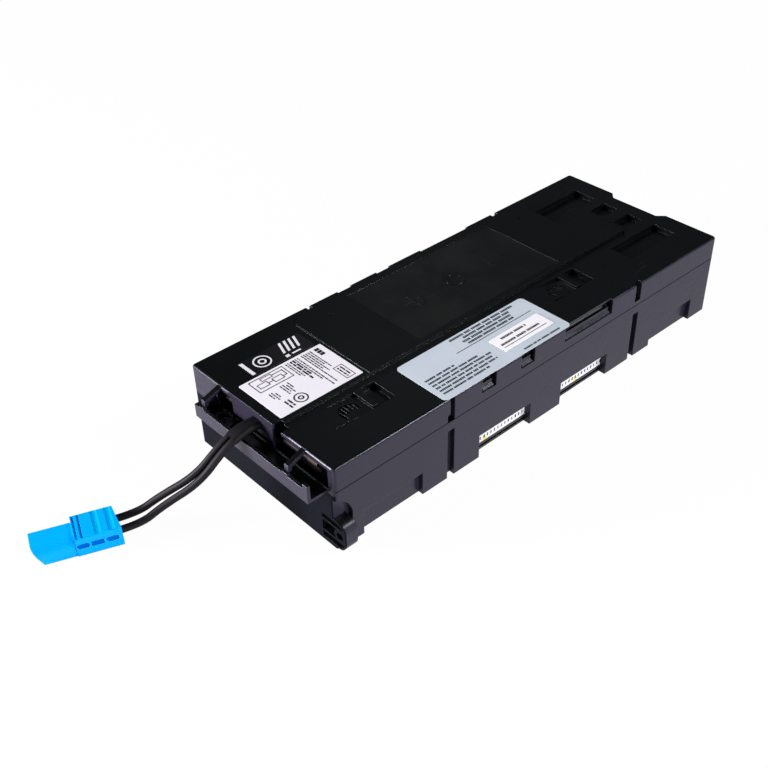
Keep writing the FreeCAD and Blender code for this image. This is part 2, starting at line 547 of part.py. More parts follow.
# latch tongues: a ramp that sinks towards a deep hole, a raised end, a slit along the near side
# and a half-round finger grip with ribs
GRIP_RIBS = 5
tongue_y = ("-Dims.tongue_near", "-Dims.tongue_far")
slit_y = ("-Dims.tongue_near - Dims.slit_width", "-Dims.tongue_near")
tongue_parts = []
for index in range(2):
    start = from_front(f"Dims.tongue_start + {index} * Dims.tongue_pitch")
    ramp_end = f"{start} + Dims.tongue_length"
    under_blocks.append(block(
        f"tongue_under_{index}",
        (f"{start} - Dims.pocket_floor", f"{ramp_end} + Dims.tongue_hole + Dims.pocket_floor"),
        (f"{slit_y[0]} - Dims.pocket_floor", "Dims.pocket_floor - Dims.tongue_far"),
        under_z))
    low_end = "Place.deck_z - Dims.tongue_sink"
    cover_cuts.append(prism(f"tongue_ramp_{index}", "XZ", (
        (start, "Place.deck_z"), (ramp_end, low_end), (ramp_end, above), (start, above)),
        *tongue_y))
    cover_cuts.append(block(f"tongue_hole_{index}", (ramp_end, f"{ramp_end} + Dims.tongue_hole"),
                            tongue_y, pocket_cut_z))
    tongue_parts.append(block(
        f"tongue_end_{index}", (f"{ramp_end} - Dims.tongue_step", ramp_end),
        ("-Dims.tongue_near + Dims.fit_gap", "-Dims.tongue_far - Dims.fit_gap"),
        (f"{low_end} - Dims.pocket_floor / 2", "Place.deck_z")))
    cover_cuts.append(block(f"tongue_slit_{index}", (start, f"{ramp_end} + Dims.tongue_hole"),
                            slit_y, pocket_cut_z))
    cover_cuts.append(block(f"slit_lead_{index}", (f"{start} - Dims.slit_lead", start), slit_y,
                            ("Place.deck_z - Dims.channel_depth", above)))
    grip_x = f"{start} + Dims.grip_centre"
    slope = "Dims.tongue_sink / Dims.tongue_length"
    grip_bottom = f"Place.deck_z - Dims.grip_centre * {slope} - Dims.grip_floor"
    grip_disc = drum(f"grip_disc_{index}", "Z", "Dims.grip_radius",
                     "Dims.grip_floor + Dims.tongue_sink + Dims.wall", x=grip_x,
                     y="-Dims.grip_y", z=grip_bottom)
    grip_half = block(f"grip_half_{index}", about(grip_x, "Dims.grip_radius + Dims.wall"),
                      ("-Dims.grip_y - Dims.grip_radius - Dims.wall", "-Dims.grip_y"),
                      (f"{grip_bottom} - Dims.wall", f"{above} + Dims.wall"))
    cover_cuts.append(cut(f"grip_{index}", grip_disc, grip_half))
    for rib in range(GRIP_RIBS):
        rib_offset = f"{rib - (GRIP_RIBS - 1) / 2} * Dims.grip_pitch"
        rib_top = (f"Place.deck_z - (Dims.grip_centre + {rib_offset}) * {slope}"
                   " - Dims.grip_depth")
        tongue_parts.append(block(
            f"grip_rib_{index}_{rib}", about(f"{grip_x} + {rib_offset}", "Dims.grip_rib / 2"),
            ("-Dims.grip_y", "Dims.grip_radius - Dims.grip_y - Dims.grip_rib"),
            (f"{grip_bottom} - Dims.grip_depth", rib_top)))

# cable end: openings in the front wall, the slot for the leads, the corner notch and two arms
front_x = (from_front("-Dims.wall"), from_front("Dims.cover_wall + Dims.fit_gap"))
low_z = "Dims.tray_height - Dims.wall"
rib_edge = "Dims.front_rib - Dims.open_far"
cover_cuts.append(block("front_opening", front_x, ("-Dims.open_near", "-Dims.open_far"),
                        (low_z, "Place.open_z")))
cover_cuts.append(block("front_slot", front_x, ("Dims.slot_near", "Dims.slot_far"),
                        (low_z, "Place.open_z")))
cover_cuts.append(block("front_brow", front_x, (rib_edge, "Dims.slot_near"),
                        (low_z, "Place.brow_z")))
cover_cuts.append(block("corner_notch", (front_x[0], from_front("Dims.notch_length")),
                        ("-Dims.notch_far - Dims.notch_width", "-Dims.notch_far"),
                        ("Place.open_z", above)))
exit_radius = "Place.sleeve_radius + Dims.fit_gap"
exit_length = "Dims.cover_wall + Dims.wall + Dims.fit_gap"
for index, side in enumerate(SIDES):
    cover_cuts.append(drum(f"exit_round_{index}", "X", exit_radius, exit_length, x=front_x[0],
                           y=f"Dims.exit_y + {side} * Dims.lead_spacing / 2", z="Dims.exit_z"))
cover_cuts.append(block("exit_middle", front_x, about("Dims.exit_y", "Dims.lead_spacing / 2"),
                        about("Dims.exit_z", f"({exit_radius})")))

arms = []
for index, arm_y in enumerate(ARMS):
    tip_x = from_front("-Dims.arm_length")
    root_x = from_front("Dims.cover_wall / 2")
    arms.append(prism(f"arm_{index}", "XZ", (
        (root_x, "Place.arm_root_z"), (tip_x, "Place.arm_tip_z"), (tip_x, "Place.arm_foot_z"),
        (f"{tip_x} + Dims.arm_tip", "Place.arm_foot_z"),
        (f"{tip_x} + Dims.arm_tip", "Place.arm_tip_z - Dims.arm_height"),
        (root_x, "Place.arm_root_z - Dims.arm_height")),
        *about(arm_y, "Dims.arm_width / 2")))

# channel beside the raised strip, with a bevelled end at each side
channel_y = "-Dims.strip_near - Dims.channel_width"
cover_cuts.append(prism("channel", "XY", (
    (front_x[0], "-Dims.strip_near"), (plateau_tip, "-Dims.strip_near"),
    (f"{plateau_tip} - Dims.channel_width", channel_y),
    (from_front("Dims.channel_bevel"), channel_y),
    ("Place.front", f"{channel_y} - Dims.channel_bevel"),
    (front_x[0], f"{channel_y} - Dims.channel_bevel")),
    "Place.deck_z - Dims.channel_depth", above))

# side grooves that continue those of the tray, and the windows for its snap tabs
cover_backings = []
for side in SIDES:
    tag = "far" if side > 0 else "near"
    for number in GROOVED:
        low = cell(number, "Dims.battery_length")
        cover_backings.append(block(
            f"cover_backing_{tag}_{number}",
            (f"{low} - Dims.window_return", f"{low} + Dims.groove_width + Dims.window_return"),
            span(side, "Place.inset_inner", "Place.side - Dims.cover_wall / 2"),
            ("Dims.tray_height", "Place.ceiling + Dims.deck / 2")))
        outward = span(side, "Place.inset_outer", beyond)
        if number == 0:
            cover_cuts.append(block(
                f"cover_groove_low_{tag}", (low, f"{low} + Dims.groove_width"), outward,
                (low_z, "Dims.tray_height + Dims.groove_low_height")))
            cover_cuts.append(block(
                f"cover_groove_high_{tag}",
                (f"{low} + Dims.groove_step", f"{low} + Dims.groove_width"), outward,
                (low_z, above)))
        else:
            cover_cuts.append(block(
                f"cover_groove_{tag}", (low, f"{low} + Dims.groove_width"), outward,
                ("Dims.tray_height + Dims.groove_foot", above)))
    for index, (number, start, length) in enumerate(SNAPS):
        low = cell(number, start)
        cover_cuts.append(block(
            f"snap_window_{tag}_{index}", (low, f"{low} + {length}"),
            span(side, "Place.side - Dims.snap_notch", beyond), ("Place.snap_z", above)))

# sunk panel on the plateau with plain raised figures, and the moulding gate marks
panel_floor = "Place.plateau_z - Dims.panel_depth"
panel_low = from_front("Dims.panel_start")
cover_cuts.append(block("panel", (panel_low, f"{panel_low} + Dims.panel_length"),
                        ("-Dims.panel_near", "Dims.panel_width - Dims.panel_near"),
                        (panel_floor, above)))
figure_y = "(Dims.panel_width / 2 - Dims.panel_near)"
figure_foot = f"{panel_floor} - Dims.panel_depth"
half_rise = "1.5 * Dims.panel_depth"
full_rise = "2 * Dims.panel_depth"


def figure_x(step):
    return f"{panel_low} + Dims.panel_length / 2 + {step} * Dims.motif_pitch"


def figure_disc(name, step, radius, rise):
    return drum(name, "Z", radius, rise, x=figure_x(step), y=figure_y, z=figure_foot)


figures = [figure_disc("figure_pad", -1, "Dims.motif_radius", half_rise)]
for index, (half_x, half_y) in enumerate((("Dims.motif_radius", "Dims.motif_rib / 2"),
                                          ("Dims.motif_rib / 2", "Dims.motif_radius"))):
    figures.append(block(f"figure_cross_{index}", about(figure_x(-1), half_x),
                         about(figure_y, half_y), (figure_foot, "Place.plateau_z")))
figures.append(cut("figure_ring", figure_disc("figure_ring_disc", 0, "Dims.motif_radius",
                                              full_rise),
                   figure_disc("figure_ring_hole", 0, "Dims.motif_ring", full_rise)))
figures.append(block("figure_square", about(figure_x(1), "Dims.motif_radius"),
                     about(figure_y, "Dims.motif_radius"),
                     (figure_foot, f"{figure_foot} + {half_rise}")))
GATES = ((115.0, 57.0, "Place.plateau_z"), (331.0, 56.0, "Place.plateau_z"),
         (324.0, -45.0, "Place.deck_z"), (353.0, -58.0, "Place.deck_z"))
for index, (x, y, top) in enumerate(GATES):
    cover_cuts.append(drum(f"gate_{index}", "Z", "Dims.gate_radius", "Dims.wall",
                           x=from_front(f"{x}"), y=f"{y}", z=f"{top} - Dims.gate_depth"))

# room for the inner leads beneath the strip and the plateau
hollows = [
    block("strip_hollow", (from_front("Dims.cover_wall"), from_front("Dims.strip_end")),
          ("Dims.deck - Dims.strip_near", "Dims.strip_far - Dims.deck"),
          ("Place.ceiling - Dims.fit_gap", "Place.strip_z - Dims.deck")),
    block("plateau_hollow", (f"{plateau_foot} - Dims.fit_gap", f"{plateau_waist} - Dims.deck"),
          ("Dims.deck - Dims.strip_near", f"{plateau_corner} - Dims.deck"),
          ("Place.ceiling - Dims.fit_gap", "Place.plateau_z - Dims.deck")),
]
cover_raised = fuse("cover_raised", cover_box, strip, plateau)
cover_hollowed = cut("cover_hollowed", cover_raised, *hollows)
cover_full = fuse("cover_full", cover_hollowed, *under_blocks, *cover_backings, *arms)
cover_opened = cut("cover_opened", cover_full, *cover_cuts)
piece(fuse("top_cover", cover_opened, *tongue_parts, *figures), "top_cover")

# ---------------------------------------------------------------- batteries
battery_z = ("Dims.tray_floor", "Place.battery_top")
battery_y = about("0", "Place.battery_side")
edge_round = ("Dims.battery_radius", runs_along("X"))
tab_x = "Dims.tab_length"
for number in range(BATTERIES):
    tag = f"battery_{number + 1}"
    face = cell(number, "0")
    lid_end = cell(number, "Dims.lid_length")
    piece(soft_block(f"{tag}_case", (lid_end, cell(number, "Dims.battery_length")),
                     battery_y, battery_z, edge_round), f"{tag}_case")
    piece(soft_block(f"{tag}_lid", (face, lid_end), battery_y, battery_z, edge_round),
          f"{tag}_lid")
    vent_low = "Dims.tray_floor + Dims.vent_rise"
    piece(block(f"{tag}_vent_strip", (f"{face} - Dims.vent_thickness", face),
                about("0", "Dims.vent_width / 2"), (vent_low, f"{vent_low} + Dims.vent_height")),
          f"{tag}_vent_strip")
    label_low = cell(number, "Dims.side_label_start")
    label_z = "Dims.tray_floor + Dims.side_label_rise"
    piece(block(f"{tag}_label", (label_low, f"{label_low} + Dims.side_label_length"),
                ("-Place.battery_side - Dims.film", "-Place.battery_side"),
                (label_z, f"{label_z} + Dims.side_label_height")), f"{tag}_label")

    # flat tabs, and the flag receptacles that push on to them
    wire_x = f"{face} - Place.wire_x"
    tabs = []
    holders = []
    hollows = []
    for side in SIDES:
        where = "far" if side > 0 else "near"
        centre = f"{side} * Dims.tab_offset"
        tabs.append(block(f"{tag}_tab_{where}", (f"{face} - {tab_x}", face),
                          about(centre, "Dims.tab_width / 2"),
                          about("Place.tab_z", "Dims.tab_thickness / 2")))
        holders.append(block(f"{tag}_flag_{where}", about(wire_x, "Dims.receptacle_length / 2"),
                             about(centre, "Dims.receptacle_width / 2"),
                             about("Place.tab_z", "Dims.receptacle_height / 2")))
        barrel = span(side, "Place.barrel_end", "Dims.tab_offset - Dims.receptacle_width / 4")
        holders.append(drum(f"{tag}_barrel_{where}", "Y", "Dims.barrel_radius",
                            f"({barrel[1]}) - ({barrel[0]})", x=wire_x, y=barrel[0],
                            z="Place.tab_z"))
        hollows.append(block(
            f"{tag}_flag_slot_{where}", about(wire_x, "Dims.receptacle_length"),
            about(centre, "(Dims.tab_width / 2 + Dims.receptacle_gap)"),
            about("Place.tab_z", "(Dims.tab_thickness / 2 + Dims.receptacle_gap)")))
        grip = span(side, "Place.barrel_end - Dims.fit_gap",
                    "Place.barrel_end + Dims.barrel_grip + Dims.fit_gap")
        hollows.append(drum(f"{tag}_barrel_bore_{where}", "Y",
                            "Dims.wire_diameter / 2 + Dims.bore_gap",
                            f"({grip[1]}) - ({grip[0]})", x=wire_x, y=grip[0], z="Place.tab_z"))
    piece(fuse(f"{tag}_terminals", *tabs), f"{tag}_terminals")
    piece(cut(f"{tag}_receptacles", fuse(f"{tag}_holders", *holders), *hollows),
          f"{tag}_receptacles")

# ---------------------------------------------------------------- labels on the cover
LABELS = (
    ("rating_label", "Dims.rating_start", "Dims.rating_length", "-Dims.rating_near",
     "Dims.rating_width", "Place.strip_z", "Dims.label_corner"),
    ("dark_label", "Dims.dark_start", "Dims.dark_length", "Dims.dark_near",
     "Dims.dark_width", "Place.deck_z", "Dims.label_corner"),
    ("caution_label", "Dims.caution_start", "Dims.caution_length",
     "-Dims.caution_far - Dims.caution_width", "Dims.caution_width", "Place.deck_z",
     "Dims.label_radius"),
    ("date_sticker", "Dims.sticker_start", "Dims.sticker_length",
     "-Dims.sticker_far - Dims.sticker_width", "Dims.sticker_width",
     "Place.deck_z + Dims.film", "Dims.label_corner"),
)
for name, start, length, low, width, level, radius in LABELS:
    low_x = from_front(start)
    piece(soft_block(name, (low_x, f"{low_x} + {length}"), (low, f"{low} + {width}"),
                     (level, f"{level} + Dims.film"), (radius, runs_along("Z"))), name)

# ---------------------------------------------------------------- plug and its contacts
# modelled with its rear face at X = 0 and its body towards -X, then turned and put in place
plug_turn = FreeCAD.Rotation(Vector(0, 0, 1), -float(dims.plug_angle))
plug_centre = "Dims.plug_width / 2"
POLES = [f"({plug_centre} + {side} * Dims.plug_pitch / 2)" for side in SIDES]
plug_body = soft_block("plug_body", ("-Dims.plug_rear", "0"), ("0", "Dims.plug_width"),
                       ("0", "Dims.plug_height"), ("Dims.plug_radius", runs_along("X")))
nose_y = ("Dims.nose_near", "Dims.plug_width - Dims.nose_far")
plug_nose = soft_block("plug_nose", ("-Dims.plug_length", "Dims.wall - Dims.plug_rear"), nose_y,
                       ("0", "Dims.nose_height"), ("Dims.nose_round", top_near),
                       ("Dims.plug_radius", runs_along("X")))
before_nose = "-Dims.plug_length - Dims.wall"
plug_cuts = [
    soft_block("mouth", (before_nose, "Dims.mouth_depth - Dims.plug_length"),
               (f"{nose_y[0]} + Dims.plug_wall", f"{nose_y[1]} - Dims.plug_wall"),
               ("Dims.mouth_low", "Dims.mouth_low + Dims.mouth_height"),
               ("Dims.nose_round - Dims.plug_wall", top_near)),
    prism("nose_bevel_cut", "XZ", (
        (before_nose, "-Dims.wall"), ("Dims.nose_bevel - Dims.plug_length", "-Dims.wall"),
        ("Dims.nose_bevel - Dims.plug_length", "0"), ("-Dims.plug_length", "Dims.nose_height"),
        (before_nose, "Dims.nose_height")),
        "-Dims.wall", "Dims.plug_width + Dims.wall"),
    prism("rear_slant", "XY", (
        ("0", "0"), ("-Dims.plug_slant", "Dims.plug_width"),
        ("-Dims.plug_slant", "Dims.plug_width + Dims.wall"),
        ("Dims.wall", "Dims.plug_width + Dims.wall"), ("Dims.wall", "0")),
        "-Dims.wall", "Dims.plug_height + Dims.wall"),
]
for index in range(2):
    plug_cuts.append(drum(
        f"top_dent_{index}", "Y", "Dims.dent_radius", "Dims.plug_width + 2 * Dims.wall",
        x=f"-Dims.dent_start - {index} * Dims.dent_pitch", y="-Dims.wall",
        z="Dims.plug_height + Dims.dent_radius - Dims.dent_depth"))
for index in range(3):
    slot_low = f"-Dims.plug_slot_start - Dims.plug_slot_width - {index} * Dims.plug_slot_pitch"
    ends = [("0.49 * Dims.plug_slot_height", runs_along("Y"))] if index != 1 else []
    plug_cuts.append(soft_block(
        f"side_slot_{index}", (slot_low, f"{slot_low} + Dims.plug_slot_width"),
        ("-Dims.plug_slot_depth", "Dims.plug_slot_depth"),
        about("Dims.plug_slot_z", "Dims.plug_slot_height / 2"), *ends))
for index in range(2):
    groove_high = f"-Dims.plug_groove_start - {index} * Dims.plug_groove_pitch"
    plug_cuts.append(block(
        f"top_groove_{index}", (f"{groove_high} - Dims.plug_groove", groove_high),
        ("-Dims.wall", "Dims.plug_width + Dims.wall"),
        ("Dims.plug_height - Dims.plug_groove_depth", "Dims.plug_height + Dims.wall")))
blade_tip = "Dims.blade_inset - Dims.plug_length"
contact_end = "-Dims.contact_start - Dims.contact_length"
contacts = []
contact_bores = []
for index, pole in enumerate(POLES):
    axis_at = {"y": pole, "z": "Dims.plug_axis_z"}
    plug_cuts.append(drum(f"pole_bore_{index}", "X", "Dims.plug_bore",
                          "Dims.plug_bore_depth + Dims.wall", x="-Dims.plug_bore_depth",
                          **axis_at))
    plug_cuts.append(block(
        f"blade_slot_{index}", ("-Dims.plug_length", "-Dims.plug_bore_depth + Dims.fit_gap"),
        about(pole, "(Dims.blade_thickness / 2 + Dims.fit_gap)"),
        about("Dims.plug_axis_z", "(Dims.blade_height / 2 + Dims.fit_gap)")))
    contacts.append(drum(f"contact_barrel_{index}", "X", "Dims.plug_bore - Dims.fit_gap",
                         "Dims.contact_length", x=contact_end, **axis_at))
    contacts.append(block(
        f"contact_blade_{index}", (blade_tip, f"{contact_end} + Dims.fit_gap"),
        about(pole, "Dims.blade_thickness / 2"),
        about("Dims.plug_axis_z", "Dims.blade_height / 2")))
    contact_bores.append(drum(
        f"contact_bore_{index}", "X", "Dims.lead_diameter / 2 + Dims.bore_gap",
        "Dims.lead_insert + Dims.fit_gap", x="-Dims.lead_insert - Dims.fit_gap", **axis_at))

plug_housing = cut("plug_housing", fuse("plug_solid", plug_body, plug_nose), *plug_cuts)
plug_contacts = cut("plug_contacts", fuse("contact_solid", *contacts), *contact_bores)
for target in (plug_housing, plug_contacts):
    target.Placement.Rotation = plug_turn
    move(target, from_front("-Dims.plug_x"), "Dims.plug_y", "0")
    piece(target, target.Name)

# ---------------------------------------------------------------- leads
# (distance before the cable end, y, height) of the middle of the pair, and how far the positive
# lead lies from it; the negative lead lies as far on the other side
exit_offset = Vector(0, float(dims.lead_spacing) / 2, 0)
LEAD_ROUTE = (
    (0.0, float(dims.exit_y), float(dims.exit_z), exit_offset),
    (14.5, float(dims.exit_y), float(dims.exit_z) + 0.5, exit_offset),
    (30.5, 3.3, 59.0, exit_offset),
    (49.4, 9.4, 37.7, Vector(0.1, 2.6, 1.4)),
    (71.8, 26.6, 19.3, Vector(1.2, 3.6, 1.35)),
)
PLUG_APPROACH = 13.0
BEND_SHARE = 0.45
doc.recompute()


def route(points, bend=0.0):
    """Straight runs joined by tangent arcs, and the smallest arc radius among them."""
    edges = []
    radii = []
    start = points[0]
    for before, corner, after in zip(points, points[1:], points[2:]):
        into = (corner - before).normalize()
        out = (after - corner).normalize()
        half_turn = into.getAngle(out) / 2
        shorter = min((corner - before).Length, (after - corner).Length)
        radius = bend or BEND_SHARE * shorter / math.tan(half_turn)
        reach = radius * math.tan(half_turn)
        inward = (out - into).normalize()
        first = corner - into * reach
        last = corner + out * reach
        middle = corner + inward * (radius / math.cos(half_turn) - radius)
        edges.append(Part.LineSegment(start, first).toShape())
        edges.append(Part.Arc(first, middle, last).toShape())
        radii.append(radius)
        start = last
    edges.append(Part.LineSegment(start, points[-1]).toShape())
    return Part.Wire(edges), min(radii)


def sweep(wire, profile):
    return wire.makePipeShell([profile], True, False)


def tube(points, radius, bend=0.0):
    wire, smallest = route(points, bend)
    ring = Part.Wire(Part.makeCircle(radius, points[0], points[1] - points[0]))
    return sweep(wire, ring), wire.Length, smallest


def lead(name, points, diameter, bend=0.0):
    """One insulated lead; its volume is held against its section times its length."""
    radius = float(diameter) / 2
    shape, length, smallest = tube(points, radius, bend)
    share = shape.Volume / (math.pi * radius ** 2 * length)
    print(f"{name}: length {length:.1f} mm, smallest bend {smallest:.1f} mm, volume {share:.4f}")
    feature = doc.addObject("Part::Feature", name)
    feature.Shape = shape
    return piece(feature, name)


def plug_point(distance, pole):
    """Point on the axis of a pole, at a distance behind the rear face of the plug."""
    local = Vector(distance, float(dims.plug_width) / 2 + pole * float(dims.plug_pitch) / 2,
                   float(dims.plug_axis_z))
    origin = Vector(place.front - float(dims.plug_x), float(dims.plug_y), 0)
    return origin + plug_turn.multVec(local)


def lead_points(pole):
    """Corner points of one free lead from the cable end to its contact in the plug."""
    points = [Vector(place.front - before, y, z) + offset * pole
              for before, y, z, offset in LEAD_ROUTE]
    points.append(plug_point(PLUG_APPROACH, pole))
    points.append(plug_point(-float(dims.lead_insert), pole))
    return points


FREE_LEADS = (("lead_positive", 1), ("lead_negative", -1))
for name, pole in FREE_LEADS:
    lead(name, lead_points(pole), dims.lead_diameter)

# the sleeve follows the first part of both leads
exit_middle = Vector(place.front, LEAD_ROUTE[0][1], LEAD_ROUTE[0][2])
crest = Vector(place.front - LEAD_ROUTE[1][0], LEAD_ROUTE[1][1], LEAD_ROUTE[1][2])
descent = Vector(place.front - LEAD_ROUTE[2][0], LEAD_ROUTE[2][1], LEAD_ROUTE[2][2])
rising = (crest - exit_middle).normalize()
falling = (descent - crest).normalize()


def on_rise(distance, y=exit_middle.y):
    """Point on the line of the lead's first run, inside the case."""
    return Vector(place.front + distance, y, exit_middle.z - distance * rising.z / -rising.x)


sleeve_start = on_rise(float(dims.cover_wall))
sleeve_end = crest + falling * ((float(dims.sleeve_outside) - LEAD_ROUTE[1][0]) / -falling.x)
sleeve_route = [sleeve_start, crest, sleeve_end]
crest_bend = BEND_SHARE * (crest - exit_middle).Length / math.tan(rising.getAngle(falling) / 2)
sleeve_radius = place.sleeve_radius
across = Vector(0, 1, 0)
upward = rising.cross(across).normalize()
reach = exit_offset.y
lobe = []
for y, z in ((-1, 1), (1, 1), (1, -1), (-1, -1)):
    lobe.append(sleeve_start + across * (y * reach) + upward * (z * sleeve_radius))
near_tip = sleeve_start - across * (reach + sleeve_radius)
far_tip = sleeve_start + across * (reach + sleeve_radius)
oval = Part.Wire([
    Part.LineSegment(lobe[0], lobe[1]).toShape(), Part.Arc(lobe[1], far_tip, lobe[2]).toShape(),
    Part.LineSegment(lobe[2], lobe[3]).toShape(), Part.Arc(lobe[3], near_tip, lobe[0]).toShape(),
])
sleeve_path, _ = route(sleeve_route, crest_bend)
sleeve_shape = sweep(sleeve_path, oval)
bore_radius = float(dims.lead_diameter) / 2 + float(dims.bore_gap)
past_ends = [on_rise(float(dims.cover_wall + dims.wall)), crest,
             sleeve_end + falling * float(dims.wall)]
for side in SIDES:
    bore_route = [point + exit_offset * side for point in past_ends]
    sleeve_shape = sleeve_shape.cut(tube(bore_route, bore_radius, crest_bend)[0])
sleeve = doc.addObject("Part::Feature", "cable_sleeve")
sleeve.Shape = sleeve_shape
piece(sleeve, "cable_sleeve")

# leads inside the case; the batteries alternate, so each joint is on the side next to the last
wire_height = place.wire_z
tab_height = place.tab_z
tab_end = place.barrel_end + float(dims.barrel_grip)
row_y = float(dims.jumper_y)
inner_bend = float(dims.inner_bend)


def wire_plane(number):
    return place.first + number * place.pitch - place.wire_x


for number in range(BATTERIES - 1):
    side = SIDES[number % 2]
    ends = [wire_plane(number), wire_plane(number + 1)]
    points = [Vector(ends[0], side * tab_end, tab_height), Vector(ends[0], side * row_y, tab_height)]
    points += [Vector(x, side * row_y, wire_height) for x in ends]
    points += [Vector(ends[1], side * row_y, tab_height), Vector(ends[1], side * tab_end, tab_height)]
    lead(f"jumper_{number + 1}", points, dims.wire_diameter, inner_bend)

near_y = exit_middle.y - exit_offset.y
far_y = exit_middle.y + exit_offset.y
first_x = wire_plane(0)
last_x = wire_plane(BATTERIES - 1)
turn_point = on_rise(first_x - place.front, far_y)
lead("inner_lead_positive",
     [on_rise(0, far_y), turn_point, Vector(first_x, float(dims.slant_y), tab_height),
      Vector(first_x, tab_end, tab_height)], dims.wire_diameter, inner_bend)
lead("inner_lead_negative",
     [on_rise(0, near_y), on_rise(float(dims.drop_end), near_y),
      Vector(place.front + float(dims.drop_start), near_y, wire_height),
      Vector(last_x, near_y, wire_height), Vector(last_x, near_y, tab_height),
      Vector(last_x, tab_end, tab_height)], dims.wire_diameter, inner_bend)

# ---------------------------------------------------------------- checks and export
doc.recompute()
for item in doc.Objects:
    assert "Invalid" not in item.State and "Error" not in item.State, (item.Name, item.State)
for item in pieces:
    assert not item.Shape.isNull() and item.Shape.isValid(), item.Label

os.makedirs("parts", exist_ok=True)
for item in pieces:
    item.Shape.exportStep(f"parts/{item.Label}.step")
    print(f"{item.Label}: {len(item.Shape.Solids)} solid(s), {item.Shape.Volume:.0f} mm3")
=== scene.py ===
# %% [markdown]
# # A battery cartridge for an uninterruptible power supply
#
# This notebook gives a finished CAD model its look. The CAD model, called the frame, holds the
# exact shapes: a black tray and cover, four battery blocks, the wiring and a blue plug. Here we
# add materials, print on the labels, flexible leads, a camera, lamps and a floor.
#
# The shapes could be modelled again here, but then they would have to be kept equal by hand. It is
# safer to load the exact ones and to add only what the CAD model can't carry.
#
# Everything is in metres, in the same coordinates as the CAD model: +X runs along the row of
# batteries away from the cable end, +Z is up, and the origin is the centre of the underside.

import math
import random

import bpy
from mathutils import Matrix, Vector


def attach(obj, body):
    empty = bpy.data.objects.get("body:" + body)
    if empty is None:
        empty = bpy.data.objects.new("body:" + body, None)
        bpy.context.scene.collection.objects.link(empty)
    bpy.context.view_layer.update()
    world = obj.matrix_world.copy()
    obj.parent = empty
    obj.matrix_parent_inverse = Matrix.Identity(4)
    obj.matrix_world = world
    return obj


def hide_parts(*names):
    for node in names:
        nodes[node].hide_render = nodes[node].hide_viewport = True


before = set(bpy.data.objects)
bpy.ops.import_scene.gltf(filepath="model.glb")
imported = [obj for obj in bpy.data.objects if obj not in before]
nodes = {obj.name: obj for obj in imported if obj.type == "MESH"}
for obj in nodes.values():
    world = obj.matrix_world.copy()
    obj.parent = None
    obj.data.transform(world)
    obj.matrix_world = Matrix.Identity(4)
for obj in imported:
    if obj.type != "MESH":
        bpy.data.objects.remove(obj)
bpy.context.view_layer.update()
print("CAD pieces:", len(nodes))

# %% [markdown]
# ## Measures
#
# The case is drawn in millimetres, measured along X from its cable end. The helper turns such a
# measure into metres in the frame of the CAD model. The levels are heights above the underside:
# the flat deck of the cover, the joint between tray and cover, and the raised strip that carries
# the rating label.

# %% Measures and the row frame
MM = 0.001
HALF_LENGTH = 215.0


def at(x, y, z):
    """Point given in mm from the cable end, from the middle line and from the floor."""
    return Vector(((x - HALF_LENGTH) * MM, y * MM, z * MM))


DECK = 73.6
SEAM = 53.0
STRIP = DECK + 0.9
FILM = 0.2
print("cable end of the deck:", tuple(round(v, 3) for v in at(0, 0, DECK)))

# %% [markdown]
# ## Shared shader effects
#
# A shader node group is a small program that several materials can reuse. Each group below only
# works out values: a mask between 0 and 1, or a normal. The material decides what to do with them.
# All groups read object coordinates, so the patterns stay on the surface when the camera moves.
# The same nodes could be drawn by hand in the shader editor. Small helpers that return a socket
# keep the script as short as the drawing would be.


# %% Helpers that place shader nodes
def new_group(name, inputs, outputs):
    """Node group with number inputs and the named outputs.

    Returns the group, its input and output nodes, and the socket with object coordinates."""
    group = bpy.data.node_groups.new(name, "ShaderNodeTree")
    for label, value in inputs:
        socket = group.interface.new_socket(name=label, in_out="INPUT",
                                            socket_type="NodeSocketFloat")
        socket.default_value = value
    for label, kind in outputs:
        group.interface.new_socket(name=label, in_out="OUTPUT", socket_type=kind)
    entry = group.nodes.new("NodeGroupInput")
    leave = group.nodes.new("NodeGroupOutput")
    place = group.nodes.new("ShaderNodeTexCoord")
    return group, entry, leave, place.outputs["Object"]


def math_node(tree, operation, first, second=None, clamp=False):
    """Math node whose inputs are sockets or plain numbers; returns its output."""
    node = tree.nodes.new("ShaderNodeMath")
    node.operation = operation
    node.use_clamp = clamp
    for socket, value in zip(node.inputs, (first, second)):
        if value is None:
            continue
        if isinstance(value, (int, float)):
            socket.default_value = value
        else:
            tree.links.new(value, socket)
    return node.outputs[0]


def noise_node(tree, vector, scale, detail=3.0, rough=0.5, distort=0.0):
    """Noise texture; scale is a number or a socket, in cells per metre."""
    node = tree.nodes.new("ShaderNodeTexNoise")
    tree.links.new(vector, node.inputs["Vector"])
    if isinstance(scale, (int, float)):
        node.inputs["Scale"].default_value = scale
    else:
        tree.links.new(scale, node.inputs["Scale"])
    node.inputs["Detail"].default_value = detail
    node.inputs["Roughness"].default_value = rough
    node.inputs["Distortion"].default_value = distort
    return node.outputs["Fac"]


def steps(tree, value, low, high):
    """Smooth ramp from 0 at low to 1 at high."""
    node = tree.nodes.new("ShaderNodeMapRange")
    node.interpolation_type = "SMOOTHSTEP"
    node.inputs["From Min"].default_value = low
    node.inputs["From Max"].default_value = high
    tree.links.new(value, node.inputs["Value"])
    return node.outputs["Result"]


def upward_share(tree):
    """1 on a face that looks straight up, 0 on an upright one, from the face's own normal."""
    facing = tree.nodes.new("ShaderNodeNewGeometry")
    split = tree.nodes.new("ShaderNodeSeparateXYZ")
    tree.links.new(facing.outputs["True Normal"], split.inputs["Vector"])
    return split.outputs["Z"]


print("shader helpers ready")

